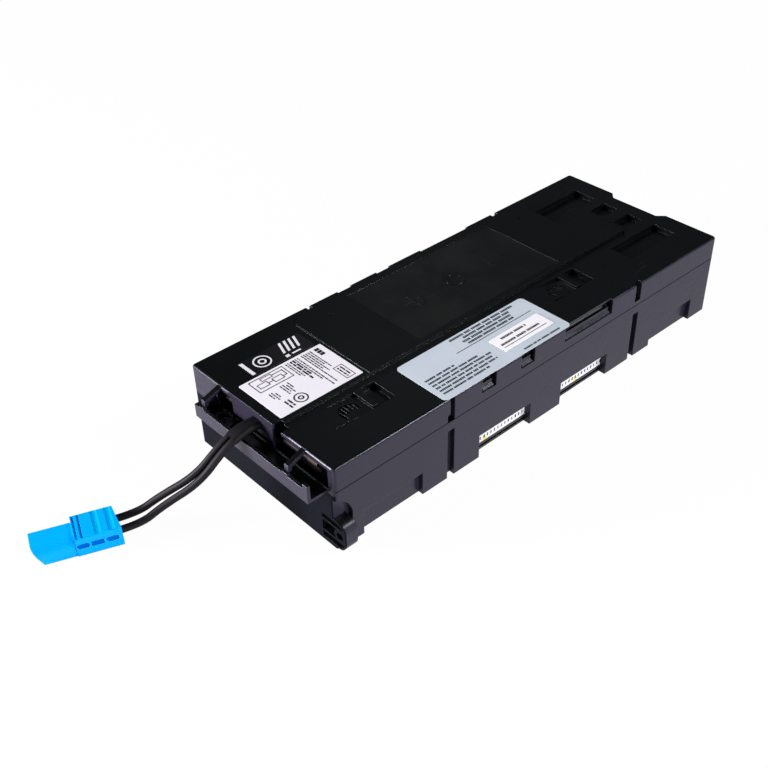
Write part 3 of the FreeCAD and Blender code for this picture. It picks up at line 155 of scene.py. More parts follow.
# %% [markdown]
# ### Moulded skin
#
# Injection-moulded plastic isn't a mirror. It has a very fine spark-eroded grain, and a faint
# broad unevenness where the wall thickness changes. Its edges are a little round, and that is what
# catches the light. The round edges could be cut into every mesh with a bevel modifier, but the
# Bevel node gives the same highlight and leaves the shapes alone. The group returns all three as
# one normal, and a slow mottle that materials use to vary their roughness.

# %% Node group: moulded skin
skin, skin_in, skin_out, skin_place = new_group(
    "Moulded skin",
    [("Grain scale", 2600.0), ("Grain depth", 0.25), ("Waviness", 0.05), ("Edge radius", 0.0)],
    [("Normal", "NodeSocketVector"), ("Mottle", "NodeSocketFloat")])
links = skin.links
grain = noise_node(skin, skin_place, skin_in.outputs["Grain scale"], detail=2.0)
wave = noise_node(skin, skin_place, 38.0, detail=1.0)
wave_bump = skin.nodes.new("ShaderNodeBump")
wave_bump.inputs["Distance"].default_value = 0.0006
links.new(skin_in.outputs["Waviness"], wave_bump.inputs["Strength"])
links.new(wave, wave_bump.inputs["Height"])
edge = skin.nodes.new("ShaderNodeBevel")
edge.samples = 6
links.new(skin_in.outputs["Edge radius"], edge.inputs["Radius"])
links.new(edge.outputs["Normal"], wave_bump.inputs["Normal"])
grain_bump = skin.nodes.new("ShaderNodeBump")
grain_bump.inputs["Distance"].default_value = 0.00003
links.new(skin_in.outputs["Grain depth"], grain_bump.inputs["Strength"])
links.new(grain, grain_bump.inputs["Height"])
links.new(wave_bump.outputs["Normal"], grain_bump.inputs["Normal"])
links.new(grain_bump.outputs["Normal"], skin_out.inputs["Normal"])
mottle = noise_node(skin, skin_place, 22.0, detail=4.0, rough=0.6, distort=0.4)
links.new(steps(skin, mottle, low=0.32, high=0.72), skin_out.inputs["Mottle"])
print("group:", skin.name)

# %% [markdown]
# ### Handling
#
# A part that has been carried and stacked shows smudges and a few fine scuffs. Smudges are broad
# soft patches. Scuffs are thin: noise stretched far along one direction and then cut off high, so
# that only its crests remain. A last mask collects dust on faces that look up. Painted maps could
# do the same, but noise needs no image and no unwrapping.

# %% Node group: handling
wear, wear_in, wear_out, wear_place = new_group(
    "Handling",
    [("Scuff amount", 1.0)],
    [("Smudge", "NodeSocketFloat"), ("Scuff", "NodeSocketFloat"), ("Dust", "NodeSocketFloat")])
links = wear.links
smudge = noise_node(wear, wear_place, 16.0, detail=5.0, rough=0.62, distort=1.2)
links.new(steps(wear, smudge, low=0.46, high=0.74), wear_out.inputs["Smudge"])
stretched = []
for angle, squeeze in ((0.35, 26.0), (-0.9, 30.0)):
    turn = wear.nodes.new("ShaderNodeMapping")
    turn.inputs["Rotation"].default_value = (0.2, 0.1, angle)
    turn.inputs["Scale"].default_value = (1.0, squeeze, 6.0)
    links.new(wear_place, turn.inputs["Vector"])
    streak = noise_node(wear, turn.outputs["Vector"], 34.0, detail=2.0)
    stretched.append(steps(wear, streak, low=0.70, high=0.76))
either = math_node(wear, "MAXIMUM", *stretched)
patch = steps(wear, noise_node(wear, wear_place, 11.0, detail=2.0), low=0.50, high=0.62)
scuffed = math_node(wear, "MULTIPLY", either, patch)
links.new(math_node(wear, "MULTIPLY", scuffed, wear_in.outputs["Scuff amount"]),
          wear_out.inputs["Scuff"])
upward = steps(wear, upward_share(wear), low=0.75, high=0.98)
grit = noise_node(wear, wear_place, 900.0, detail=3.0, rough=0.7)
specks = steps(wear, grit, low=0.60, high=0.74)
clouds = noise_node(wear, wear_place, 9.0, detail=3.0, rough=0.6)
dusty = math_node(wear, "MULTIPLY", upward, steps(wear, clouds, low=0.45, high=0.75))
links.new(math_node(wear, "MULTIPLY", dusty, specks), wear_out.inputs["Dust"])
print("group:", wear.name)

# %% [markdown]
# ## Materials
#
# Every material is a Principled BSDF. A constant is typed straight into its socket; only what
# really varies over the surface comes from a node.


# %% Helpers for materials
def use_group(tree, group, **values):
    """Place a node group in a material and type numbers into its inputs."""
    node = tree.nodes.new("ShaderNodeGroup")
    node.node_tree = group
    for label, value in values.items():
        node.inputs[label.replace("_", " ")].default_value = value
    return node


def blend_colour(tree, mask, low, high):
    """Colour that goes from low to high as the mask goes from 0 to 1; returns the output."""
    node = tree.nodes.new("ShaderNodeMix")
    node.data_type = "RGBA"
    sockets = [s for s in node.inputs if s.type == "RGBA"]
    for socket, colour in zip(sockets, (low, high)):
        if isinstance(colour, tuple):
            socket.default_value = (*colour, 1.0)
        else:
            tree.links.new(colour, socket)
    tree.links.new(mask, node.inputs["Factor"])
    return next(s for s in node.outputs if s.type == "RGBA")


def blend_value(tree, mask, low, high):
    """Number that goes from low to high as the mask goes from 0 to 1; returns the output."""
    spread = math_node(tree, "MULTIPLY", mask, high - low)
    return math_node(tree, "ADD", spread, low)


def base_material(name, colour, roughness, metallic=0.0):
    """Material with its constants set; returns the material, its tree and its shader."""
    material = bpy.data.materials.new(name)
    material.use_nodes = True
    tree = material.node_tree
    shader = tree.nodes["Principled BSDF"]
    shader.inputs["Base Color"].default_value = (*colour, 1.0)
    shader.inputs["Roughness"].default_value = roughness
    shader.inputs["Metallic"].default_value = metallic
    shader.inputs["IOR"].default_value = 1.5
    material.diffuse_color = (*colour, 1.0)
    return material, tree, shader


def place_axes(tree):
    """Object coordinates split into their three numbers, in metres."""
    place = tree.nodes.new("ShaderNodeTexCoord")
    split = tree.nodes.new("ShaderNodeSeparateXYZ")
    tree.links.new(place.outputs["Object"], split.inputs["Vector"])
    return split.outputs["X"], split.outputs["Y"], split.outputs["Z"]


print("material helpers ready")

# %% [markdown]
# ### Places on the case
#
# The faces of the case that look up keep its black and shine most. The upright outer faces get a
# paler, purplish colour, a weaker shine and a purplish tint in their reflections: this is painted
# light, for the light that falls on the sides. The wall under the shelf gets painted shade: a
# darker colour and almost no shine. The walls of the pockets shine less, the sunk panel is a paler
# mottled grey, and the joint line is black. The case could be cut into a mesh for each place. It
# is one moulding, though, so one material finds these places from the object coordinates and the
# direction of the face. A pair is a ramp: the mask is 0 at the first number and 1 at the second.
# The upright ramp is how far a face leans away from level, from 0 to 1. All the other limits are
# in metres, in the frame of the CAD model.

# %% Limits of the places
UPRIGHT_RAMP = (0.05, 0.55)
SIDE_RAMP = (0.0770, 0.0780)
END_RAMP = (0.2130, 0.2140)
RIM_LEVEL = 0.0725
RIM_RAMP = (0.0, 0.020)

# These limits place the painted shade on the wall under the shelf.
SHELF_WALL_RAMP = (0.2138, 0.2142)
SHELF_UNDERSIDE = 0.0497
SHELF_RAMP = (0.0, 0.0006)

PANEL_X, PANEL_Y = 0.006, 0.0265
PANEL_HALF_LENGTH, PANEL_HALF_WIDTH = 0.0800, 0.0415
PANEL_EDGE_RAMP = (0.0, 0.0003)
PANEL_LEVEL_RAMP = (0.0700, 0.0705)

SEAM_RAMP = (0.00020, 0.00055)
TROUGH_RAMP = (0.2140, 0.2143)


# %% Masks of the places
def ahead_of(tree, x, ramp):
    """Mask that goes to 1 towards the cable end, which lies on the minus side of X."""
    return steps(tree, math_node(tree, "MULTIPLY", x, -1.0), *ramp)


def outer_side(tree):
    """Two masks: the upright outer faces of the case, which carry painted light, and the upright
    walls of its pockets.
    """
    upright = steps(tree, math_node(tree, "SUBTRACT", 1.0, upward_share(tree)), *UPRIGHT_RAMP)
    x, y, z = place_axes(tree)
    wide = steps(tree, math_node(tree, "ABSOLUTE", y), *SIDE_RAMP)
    ahead = ahead_of(tree, x, END_RAMP)
    low = steps(tree, math_node(tree, "SUBTRACT", RIM_LEVEL, z), *RIM_RAMP)
    outside = math_node(tree, "MAXIMUM", math_node(tree, "MAXIMUM", wide, ahead), low)
    pocket = math_node(tree, "MULTIPLY", upright, math_node(tree, "SUBTRACT", 1.0, outside))
    return math_node(tree, "MULTIPLY", upright, outside), pocket


def shelf_shade_mask(tree):
    """Mask of painted shade: 1 on the end wall under the shelf and 0 elsewhere."""
    x, _, z = place_axes(tree)
    end_wall = ahead_of(tree, x, SHELF_WALL_RAMP)
    under = steps(tree, math_node(tree, "SUBTRACT", SHELF_UNDERSIDE, z), *SHELF_RAMP)
    return math_node(tree, "MULTIPLY", end_wall, under)


def within(tree, axis, centre, half):
    """Mask that is 1 where a coordinate is nearer to the centre than half, and 0 beyond."""
    away = math_node(tree, "ABSOLUTE", math_node(tree, "SUBTRACT", axis, centre))
    return steps(tree, math_node(tree, "SUBTRACT", half, away), *PANEL_EDGE_RAMP)


def sunk_panel(tree):
    """Mask that is 1 on the sunk panel of the cover and 0 elsewhere."""
    x, y, z = place_axes(tree)
    inside = math_node(tree, "MULTIPLY", within(tree, x, PANEL_X, PANEL_HALF_LENGTH),
                       within(tree, y, PANEL_Y, PANEL_HALF_WIDTH))
    return math_node(tree, "MULTIPLY", inside, steps(tree, z, *PANEL_LEVEL_RAMP))


def off_seam(tree, height):
    """Mask that is 0 in the line of the joint between tray and cover, and 1 elsewhere.

    The line stops at the cable end, so that the shelf in front of it stays whole."""
    x, _, z = place_axes(tree)
    away = math_node(tree, "ABSOLUTE", math_node(tree, "SUBTRACT", z, height))
    trough = ahead_of(tree, x, TROUGH_RAMP)
    return math_node(tree, "MAXIMUM", steps(tree, away, *SEAM_RAMP), trough)


print("places on the case: sides, pockets, shelf wall, sunk panel, joint line")

# %% [markdown]
# ### Moulded plastic
#
# The case, the battery blocks and the plug are moulded plastic. One function makes all four
# finishes, because they differ only in colour, gloss and grain. The case alone also gets a colour
# and a gloss for each of its places, with painted light on its upright faces and painted shade on
# the wall under the shelf.

# %% Values of the case's places
# The shelf colour and the shelf gloss are painted shade on the wall under the shelf.
SHELF_PAINTED_SHADE = (0.0030, 0.0036, 0.0062)
PANEL_SHADE = (0.0095, 0.0102, 0.0098)
PANEL_COVER = (0.3, 1.0)
SEAM_SHADE = (0.0, 0.0, 0.0)
TOP_GLOSS, SIDE_GLOSS = 0.42, 0.22
SHELF_GLOSS, POCKET_GLOSS = 0.08, 0.15
# The side tint colours the reflections purplish, as part of the painted light on the upright
# faces.
TOP_TINT, SIDE_TINT = (0.84, 1.0, 1.0), (0.86, 0.82, 1.0)
DUST_SHARE = 0.10
DULL_MOTTLE, DULL_SMUDGE, DULL_SCUFF = 0.45, 0.35, 0.6


# %% Moulded plastic
def placed_colour(tree, surface, colour, side, painted_lit_sides, painted_shelf_shade):
    """Colour of the case by place: painted light on the upright faces, painted shade on the wall
    under the shelf, the sunk panel.
    """
    plain = blend_colour(tree, painted_lit_sides, colour, side)
    plain = blend_colour(tree, painted_shelf_shade, plain, SHELF_PAINTED_SHADE)
    matt_patch = math_node(tree, "MULTIPLY", sunk_panel(tree),
                           blend_value(tree, surface.outputs["Mottle"], *PANEL_COVER))
    return blend_colour(tree, matt_patch, plain, PANEL_SHADE)


def placed_gloss(tree, shader, clear, painted_lit_sides, pocket, painted_shelf_shade):
    """Link the case's specular level and tint by place: weaker and purplish on the painted-light
    sides, faint in the painted shade under the shelf.
    """
    gloss = blend_value(tree, painted_lit_sides, TOP_GLOSS, SIDE_GLOSS)
    gloss = math_node(tree, "MULTIPLY", gloss, blend_value(tree, painted_shelf_shade, 1.0, SHELF_GLOSS))
    gloss = math_node(tree, "MULTIPLY", gloss, blend_value(tree, pocket, 1.0, POCKET_GLOSS))
    tree.links.new(math_node(tree, "MULTIPLY", clear, gloss), shader.inputs["Specular IOR Level"])
    tree.links.new(blend_colour(tree, painted_lit_sides, TOP_TINT, SIDE_TINT), shader.inputs["Specular Tint"])


def plastic(name, colour, worn, roughness, grain, wave, side=None, scuffs=0.0,
            dust=(0.30, 0.29, 0.27), edge=0.0006):
    """Moulded plastic: mottled gloss, grain, smudges, pale scuffs and a little dust.

    side names the paler colour painted on the case's upright faces as light, and turns its places
    on, the painted shade under the shelf among them."""
    material, tree, shader = base_material(name, colour, roughness[0])
    surface = use_group(tree, skin, Grain_depth=grain, Waviness=wave, Edge_radius=edge)
    handled = use_group(tree, wear, Scuff_amount=scuffs)
    tree.links.new(surface.outputs["Normal"], shader.inputs["Normal"])
    plain = colour
    if side:
        # Painted light on the upright sides and painted shade on the wall under the shelf.
        painted_lit_sides, pocket = outer_side(tree)
        painted_shelf_shade = shelf_shade_mask(tree)
        plain = placed_colour(tree, surface, colour, side, painted_lit_sides, painted_shelf_shade)
    scuffed = blend_colour(tree, handled.outputs["Scuff"], plain, worn)
    powder = math_node(tree, "MULTIPLY", handled.outputs["Dust"], DUST_SHARE)
    dusted = blend_colour(tree, powder, scuffed, dust)
    uneven = math_node(tree, "MULTIPLY", surface.outputs["Mottle"], DULL_MOTTLE)
    smeared = math_node(tree, "MULTIPLY", handled.outputs["Smudge"], DULL_SMUDGE)
    scraped = math_node(tree, "MULTIPLY", handled.outputs["Scuff"], DULL_SCUFF)
    dull = math_node(tree, "ADD", math_node(tree, "ADD", uneven, smeared), scraped, clamp=True)
    tree.links.new(blend_value(tree, dull, *roughness), shader.inputs["Roughness"])
    if side:
        clear = off_seam(tree, SEAM * MM)
        dusted = blend_colour(tree, clear, SEAM_SHADE, dusted)
        placed_gloss(tree, shader, clear, painted_lit_sides, pocket, painted_shelf_shade)
    tree.links.new(dusted, shader.inputs["Base Color"])
    return material


print("case gloss, top and sides:", TOP_GLOSS, SIDE_GLOSS)

# %% The plastics of the cartridge
# The side colour is painted light: it makes the upright faces look lit.
case_black = plastic("case plastic", (0.0022, 0.0027, 0.0029), (0.03, 0.03, 0.033),
                     (0.22, 0.40), 0.22, 0.06, side=(0.0190, 0.0172, 0.0285), scuffs=0.6,
                     edge=0.0007)
battery_grey = plastic("battery case", (0.010, 0.010, 0.012), (0.03, 0.03, 0.03),
                       (0.45, 0.60), 0.45, 0.08, scuffs=0.5)
battery_lid = plastic("battery lid", (0.004, 0.004, 0.005), (0.01, 0.01, 0.01),
                      (0.50, 0.62), 0.40, 0.08, scuffs=0.5)
plug_blue = plastic("plug plastic", (0.0, 0.37, 0.86), (0.04, 0.46, 0.92),
                    (0.42, 0.56), 0.35, 0.06, scuffs=0.5, dust=(0.20, 0.55, 0.85), edge=0.0005)
plug_shader = plug_blue.node_tree.nodes["Principled BSDF"]
plug_shader.inputs["Specular IOR Level"].default_value = 0.12
plug_shader.inputs["Specular Tint"].default_value = (0.30, 0.75, 1.0, 1.0)
# Painted shade: a darker blue without shine for the deep floors of the plug's slots.
painted_slot_shade, _, slot_shader = base_material("plug slots", (0.0, 0.11, 0.52), 0.6)
slot_shader.inputs["Specular IOR Level"].default_value = 0.0
print("plastics:", [m.name for m in (case_black, battery_grey, battery_lid, plug_blue)])


# %% [markdown]
# ### Films, metals and inks
#
# The labels are thin plastic films, the tabs and screws plated metal, and the print is ink. A film
# and a metal vary in the same way, in colour with one mask and in gloss with the skin's mottle, so
# they share the function that links them. Ink is too small in area to need any variation.

# %% Films, metals and inks
def link_clouds(tree, shader, surface, clouds, colour, tint, roughness):
    """Link the skin's normal, a colour that follows clouds and a gloss that follows the mottle."""
    tree.links.new(surface.outputs["Normal"], shader.inputs["Normal"])
    tree.links.new(blend_colour(tree, clouds, colour, tint), shader.inputs["Base Color"])
    tree.links.new(blend_value(tree, surface.outputs["Mottle"], *roughness),
                   shader.inputs["Roughness"])


def film(name, colour, tint, roughness, ripple):
    """Printed film: nearly even colour, a little ripple from the glue below."""
    material, tree, shader = base_material(name, colour, roughness[0])
    surface = use_group(tree, skin, Grain_depth=0.05, Waviness=ripple)
    link_clouds(tree, shader, surface, surface.outputs["Mottle"], colour, tint, roughness)
    return material


def metal(name, colour, dull, roughness):
    """Plated metal: bright, with faint dull clouds."""
    material, tree, shader = base_material(name, colour, roughness[0], metallic=1.0)
    surface = use_group(tree, skin, Grain_depth=0.15, Waviness=0.1)
    handled = use_group(tree, wear, Scuff_amount=0.5)
    link_clouds(tree, shader, surface, handled.outputs["Smudge"], colour, dull, roughness)
    return material


white_film = film("white film", (0.86, 0.86, 0.90), (0.81, 0.81, 0.85), (0.38, 0.50), 0.05)
dark_film = film("dark film", (0.006, 0.0065, 0.008), (0.009, 0.009, 0.011), (0.16, 0.26), 0.06)
silver_film = film("silver film", (0.58, 0.66, 0.72), (0.53, 0.61, 0.67), (0.36, 0.46), 0.05)
sticker_white = film("date sticker", (0.95, 0.95, 0.97), (0.92, 0.92, 0.95), (0.50, 0.62), 0.04)
paper_white = film("battery label", (0.70, 0.70, 0.72), (0.64, 0.64, 0.66), (0.50, 0.62), 0.08)
tin = metal("tinned tab", (0.06, 0.06, 0.058), (0.03, 0.03, 0.03), (0.50, 0.65))
brass = metal("tinned brass", (0.030, 0.026, 0.020), (0.016, 0.014, 0.011), (0.55, 0.70))
silver = metal("plated contact", (0.80, 0.79, 0.76), (0.60, 0.58, 0.55), (0.20, 0.36))
zinc = metal("zinc screw", (0.42, 0.42, 0.43), (0.28, 0.28, 0.29), (0.34, 0.50))
ink_black = base_material("black ink", (0.012, 0.012, 0.016), 0.45)[0]
# A grey a little paler than the case, for the frame along the sunk panel.
panel_frame_grey = base_material("panel frame line", (0.022, 0.023, 0.022), 0.5)[0]
ink_grey = base_material("grey ink", (0.010, 0.012, 0.016), 0.45)[0]
ink_white = base_material("white ink", (0.78, 0.78, 0.80), 0.40)[0]
ink_yellow = base_material("yellow ink", (0.72, 0.58, 0.06), 0.45)[0]
print("films and metals ready")

# %% [markdown]
# ### Lead insulation
#
# The leads have a soft extruded skin: matt, with a faint mottle. The sleeve round them is shrunk
# on, so it is darker and a little smoother. Both use the moulded skin with a coarser grain, which
# is enough at this size, and a low specular level, because soft insulation hardly shines.


# %% Lead insulation
def insulation(name, colour, tint, roughness, grain):
    """Soft extruded insulation: matt, with a coarse grain and a faint mottle."""
    material, tree, shader = base_material(name, colour, roughness[0])
    shader.inputs["Specular IOR Level"].default_value = 0.13
    surface = use_group(tree, skin, Grain_scale=1500.0, Grain_depth=grain, Waviness=0.25)
    link_clouds(tree, shader, surface, surface.outputs["Mottle"], colour, tint, roughness)
    return material


lead_black = insulation("lead insulation", (0.006, 0.0055, 0.0075), (0.009, 0.008, 0.011),
                        (0.48, 0.60), 0.35)
sleeve_black = insulation("sleeve", (0.004, 0.004, 0.005), (0.007, 0.0065, 0.008),
                          (0.44, 0.58), 0.4)
print("insulation ready")

# %% [markdown]
# ## Dress the CAD pieces
#
# The CAD pieces keep their shape and place, and each gets one material. Pieces that exist once are
# listed by name. The parts of the four batteries are found by the end of their names, and what is
# left over is wiring. Rounded edges come from the materials, so no mesh is changed.

# %% Materials on the CAD pieces
FINISH = {
    "lower_tray": case_black, "top_cover": case_black, "shelf_screw": zinc,
    "plug_housing": plug_blue, "plug_contacts": silver, "cable_sleeve": sleeve_black,
    "rating_label": white_film, "dark_label": dark_film, "caution_label": silver_film,
    "date_sticker": sticker_white,
}
ENDINGS = {
    "_case": battery_grey, "_lid": battery_lid, "_vent_strip": battery_lid, "_terminals": tin,
    "_receptacles": brass, "_label": paper_white,
}


def finish_of(name):
    """Material for a CAD piece, by its name or by the end of its name."""
    if name in FINISH:
        return FINISH[name]
    for ending, material in ENDINGS.items():
        if name.endswith(ending):
            return material
    return lead_black


for name, piece in nodes.items():
    piece.data.materials.clear()
    piece.data.materials.append(finish_of(name))
print("dressed:", len(nodes))

# %% [markdown]
# ## Free leads
#
# Two soft leads run from the case to the plug. They could be swept meshes, but a curve with a
# round bevel stays a true tube and can be bent again later. The splines follow the corner points
# of the CAD leads. A NURBS curve of order 3 rounds each corner as it passes, as a real lead would.
# Each point of the route is the middle of the pair, followed by the step from there to one lead.

# %% Route of the leads
LEAD_DIAMETER = 5.6
ROUTE = (
    (0.0, 2.0, 65.4, (0.0, 2.86, 0.0)),
    (-14.5, 2.0, 65.9, (0.0, 2.86, 0.0)),
    (-30.5, 3.3, 59.0, (0.0, 2.86, 0.0)),
    (-49.4, 9.4, 37.7, (0.1, 2.6, 1.4)),
    (-71.8, 26.6, 19.3, (1.2, 3.6, 1.35)),
)
PLUG_AT = (-105.0, 25.8)
PLUG_ANGLE = math.radians(-21.5)
PLUG_TURN = Matrix.Rotation(PLUG_ANGLE, 3, "Z")
PLUG_MIDDLE = 12.5
POLE_REACH = 6.2
POLE_HEIGHT = 9.0
BEHIND_PLUG, IN_CONTACT = -13.0, 8.0


def plug_point(along, across, height):
    """Point on the plug: mm ahead of its rear face, mm across it, mm above the floor."""
    local = PLUG_TURN @ Vector((-along, across, height))
    return at(PLUG_AT[0] + local.x, PLUG_AT[1] + local.y, local.z)


print("rear of the plug:", tuple(round(v, 3) for v in plug_point(0.0, 0.0, 0.0)))


# %% Free leads
def lead_curve(name, pole):
    """Curve of one free lead, from the cable end to its contact, and its corner points."""
    points = []
    for x, y, z, offset in ROUTE:
        points.append(at(x + pole * offset[0], y + pole * offset[1], z + pole * offset[2]))
    for along in (BEHIND_PLUG, IN_CONTACT):
        points.append(plug_point(along, PLUG_MIDDLE + pole * POLE_REACH, POLE_HEIGHT))
    curve = bpy.data.curves.new(name, "CURVE")
    curve.dimensions = "3D"
    curve.bevel_depth = LEAD_DIAMETER / 2 * MM
    curve.bevel_resolution = 8
    curve.resolution_u = 24
    spline = curve.splines.new("NURBS")
    spline.points.add(len(points) - 1)
    for target, point in zip(spline.points, points):
        target.co = (*point, 1.0)
    spline.order_u = 3
    spline.use_endpoint_u = True
    curve.materials.append(lead_black)
    lead = bpy.data.objects.new(name, curve)
    bpy.context.collection.objects.link(lead)
    return lead, points


def spline_length(lead):
    """Length of a lead's centreline in metres, measured with the tube's thickness off."""
    lead.data.bevel_depth = 0.0
    mesh = lead.to_mesh()
    ends = [v.co.copy() for v in mesh.vertices]
    lead.to_mesh_clear()
    lead.data.bevel_depth = LEAD_DIAMETER / 2 * MM
    return sum((b - a).length for a, b in zip(ends, ends[1:]))


for name, pole in (("lead_positive", 1), ("lead_negative", -1)):
    lead, points = lead_curve(name + "_spline", pole)
    length = spline_length(lead)
    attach(lead, "root")
    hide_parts(name)
    print(name, "length", round(length / MM, 1), "mm")

# %% [markdown]
# ## Print on the labels
#
# The print is generic: rows of short bars stand for lines of small type, and outlined boxes and
# rings stand for drawings. An image texture could carry the print too, but it would blur close up
# and need unwrapping. Here each bar is a flat plate a few hundredths of a millimetre thick that
# lies on its label. All the bars of one label become one mesh.

# %% Helpers that turn plates into a piece
INK = 0.04


def plate(corners, level):
    """Vertices and faces of a flat plate over a four-cornered outline."""
    low = [at(x, y, level) for x, y in corners]
    high = [at(x, y, level + INK) for x, y in corners]
    faces = [(3, 2, 1, 0), (4, 5, 6, 7)]
    faces += [(n, (n + 1) % 4, 4 + (n + 1) % 4, 4 + n) for n in range(4)]
    return low + high, faces


def gather(plates):
    """Vertices and faces of many plates in one list each."""
    vertices = []
    faces = []
    for corners, sides in plates:
        faces += [tuple(len(vertices) + n for n in side) for side in sides]
        vertices += corners
    return vertices, faces


def mesh_piece(name, vertices, faces, material, slot):
    """Mesh in one material that rides on the cartridge."""
    mesh = bpy.data.meshes.new(name)
    mesh.from_pydata(vertices, [], faces)
    mesh.materials.append(material)
    piece = bpy.data.objects.new(name, mesh)
    bpy.context.collection.objects.link(piece)
    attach(piece, "root")


def print_piece(name, shapes, level, ink, slot):
    """One mesh with every plate of a label's print."""
    vertices, faces = gather(plate(corners, level) for corners in shapes)
    mesh_piece(name, vertices, faces, ink, slot)


print("ink thickness:", INK, "mm")


# %% Bars, boxes, rings and lines of type
WORD_LENGTHS = (1.6, 5.2)
WORD_SHARE = 0.9
WORD_GAP = 0.55
LETTERS_IN_WORD = (3, 9)
LETTER_WIDTHS = (0.45, 0.75)
LETTER_GAP = 0.16


def rectangle(x0, x1, y0, y1):
    """Corners of a bar, counter-clockwise from above."""
    return ((x0, y0), (x1, y0), (x1, y1), (x0, y1))


def outline(x0, x1, y0, y1, line):
    """Four bars that frame a box."""
    return [rectangle(x0, x1, y0, y0 + line), rectangle(x0, x1, y1 - line, y1),
            rectangle(x0, x0 + line, y0 + line, y1 - line),
            rectangle(x1 - line, x1, y0 + line, y1 - line)]


def ring(x, y, outer, inner, parts=24):
    """Ring made of short four-cornered pieces."""
    shapes = []
    for n in range(parts):
        a, b = (math.tau * k / parts for k in (n, n + 1))
        shapes.append(((x + inner * math.cos(a), y + inner * math.sin(a)),
                       (x + outer * math.cos(a), y + outer * math.sin(a)),
                       (x + outer * math.cos(b), y + outer * math.sin(b)),
                       (x + inner * math.cos(b), y + inner * math.sin(b))))
    return shapes


def type_line(start, end, x, height, chance):
    """Row of word-long bars along Y at one x, from start to end, with gaps between them."""
    shapes = []
    step = 1 if end > start else -1
    here = start
    while (end - here) * step > height:
        word = min(chance.uniform(*WORD_LENGTHS) * height * WORD_SHARE, abs(end - here))
        low, high = sorted((here, here + word * step))
        shapes.append(rectangle(x - height / 2, x + height / 2, low, high))
        here += (word + WORD_GAP * height) * step
    return shapes


def letters(start, end, y, height, chance):
    """Row of letter-wide bars along X, in words with gaps between them."""
    shapes = []
    here = start
    while here < end - height:
        for _ in range(chance.randint(*LETTERS_IN_WORD)):
            wide = height * chance.uniform(*LETTER_WIDTHS)
            shapes.append(rectangle(here, here + wide, y - height / 2, y + height / 2))
            here += wide + LETTER_GAP * height
            if here > end - height:
                break
        here += WORD_GAP * height
    return shapes


print("word lengths:", WORD_LENGTHS, "times the height of a line")

# %% [markdown]
# The rating label has a small drawing at its left, long lines of type beside it, a column of three
# dark boxes, a framed panel and a round mark. The random numbers start from a fixed seed, so every
# run prints the same bars.

# %% Print of the rating label
chance = random.Random(7)
rating = outline(15, 46, 16, 31.5, 0.75)
rating += outline(18, 27, 19.5, 25, 0.7) + outline(31, 40, 19.0, 24.5, 0.7)
rating += outline(24, 34, 26, 30, 0.7)
rating += [rectangle(27, 31, 21.6, 22.4), rectangle(40, 43.5, 21, 21.8),
           rectangle(42.8, 43.6, 21, 28.5), rectangle(34, 43.5, 27.4, 28.2)]
for x, low, height in ((49.0, 12.0, 1.0), (51.0, 10.0, 1.0), (53.6, 4.0, 1.6), (55.9, 9.0, 1.6),
                       (58.0, -2.0, 1.0), (60.2, -12.0, 1.0)):
    rating += type_line(31.0, low, x, height, chance)
for x, low in ((64.0, -10.5), (66.1, 8.0), (68.2, 3.0), (70.3, 10.0), (72.4, 6.0)):
    rating += type_line(31.0, low, x, 1.0, chance)
for x, high, low in ((30.0, 13.0, 1.0), (32.2, 13.0, 3.0), (34.4, 11.0, 0.0), (36.6, 13.0, 4.0),
                     (18.5, 11.0, 3.0), (20.7, 11.0, 1.0), (22.9, 9.0, 3.0)):
    rating += type_line(high, low, x, 1.0, chance)
rating += [rectangle(75.6, 79.8, 21.0 + 3.4 * n, 23.9 + 3.4 * n) for n in range(3)]
rating += outline(71.0, 79.5, -13.5, 3.0, 0.6)
rating += type_line(1.0, -11.5, 73.8, 1.3, chance) + type_line(1.0, -11.5, 76.6, 1.3, chance)
rating += ring(33.0, -7.5, 5.6, 4.5) + ring(33.0, -7.5, 2.4, 1.2)
rating += type_line(-3.0, -12.5, 21.6, 1.5, chance) + type_line(-3.0, -12.5, 24.6, 1.5, chance)
print_piece("rating_print", rating, STRIP + FILM, ink_black, "film_white")
print("rating label:", len(rating), "plates")

# %% [markdown]
# The dark label carries a round mark and a block of slanting stripes. The caution label and the
# date sticker carry rows of letters, which are narrower than words and closer together.

# %% Print of the dark label, the caution label and the date sticker
stripes = [rectangle(24.6, 27.6, 38.0, 55.5)]
stripes += ring(40.0, 47.0, 7.4, 6.1) + ring(40.0, 47.0, 3.4, 2.0)
for n in range(4):
    low = 57.5 + 4.6 * n
    stripes.append(((low, 43.5), (low + 2.1, 43.5), (low + 6.4, 56.5), (low + 4.3, 56.5)))
stripes += [rectangle(56.5, 60.0, 37.8, 40.8), rectangle(62.5, 70.5, 38.6, 40.2)]
print_piece("dark_print", stripes, DECK + FILM, ink_white, "film_dark")

caution = []
for y, low, high in ((-31.6, 157.0, 227.0), (-35.4, 168.0, 220.0), (-39.2, 164.0, 219.0),
                     (-43.0, 166.0, 216.0)):
    caution += letters(low, high, y, 2.2, chance)
caution += [rectangle(150.0, 232.0, -46.6, -46.0)]
for y, high in ((-55.0, 140.0), (-58.8, 160.0), (-62.6, 171.0), (-66.4, 168.0), (-70.2, 170.0),
                (-74.0, 158.0)):
    caution += letters(109.0, high, y, 1.9, chance)
caution += letters(190.0, 231.0, -77.4, 1.6, chance)
print_piece("caution_print", caution, DECK + FILM, ink_grey, "film_silver")

sticker = letters(187.0, 216.0, -56.5, 2.2, chance) + letters(181.0, 226.0, -62.6, 2.2, chance)
sticker += [rectangle(180.5, 227.5, -66.6, -66.0)]
print_piece("sticker_print", sticker, DECK + 2 * FILM, ink_black, "film_white")
print("other labels:", len(stripes) + len(caution) + len(sticker), "plates")

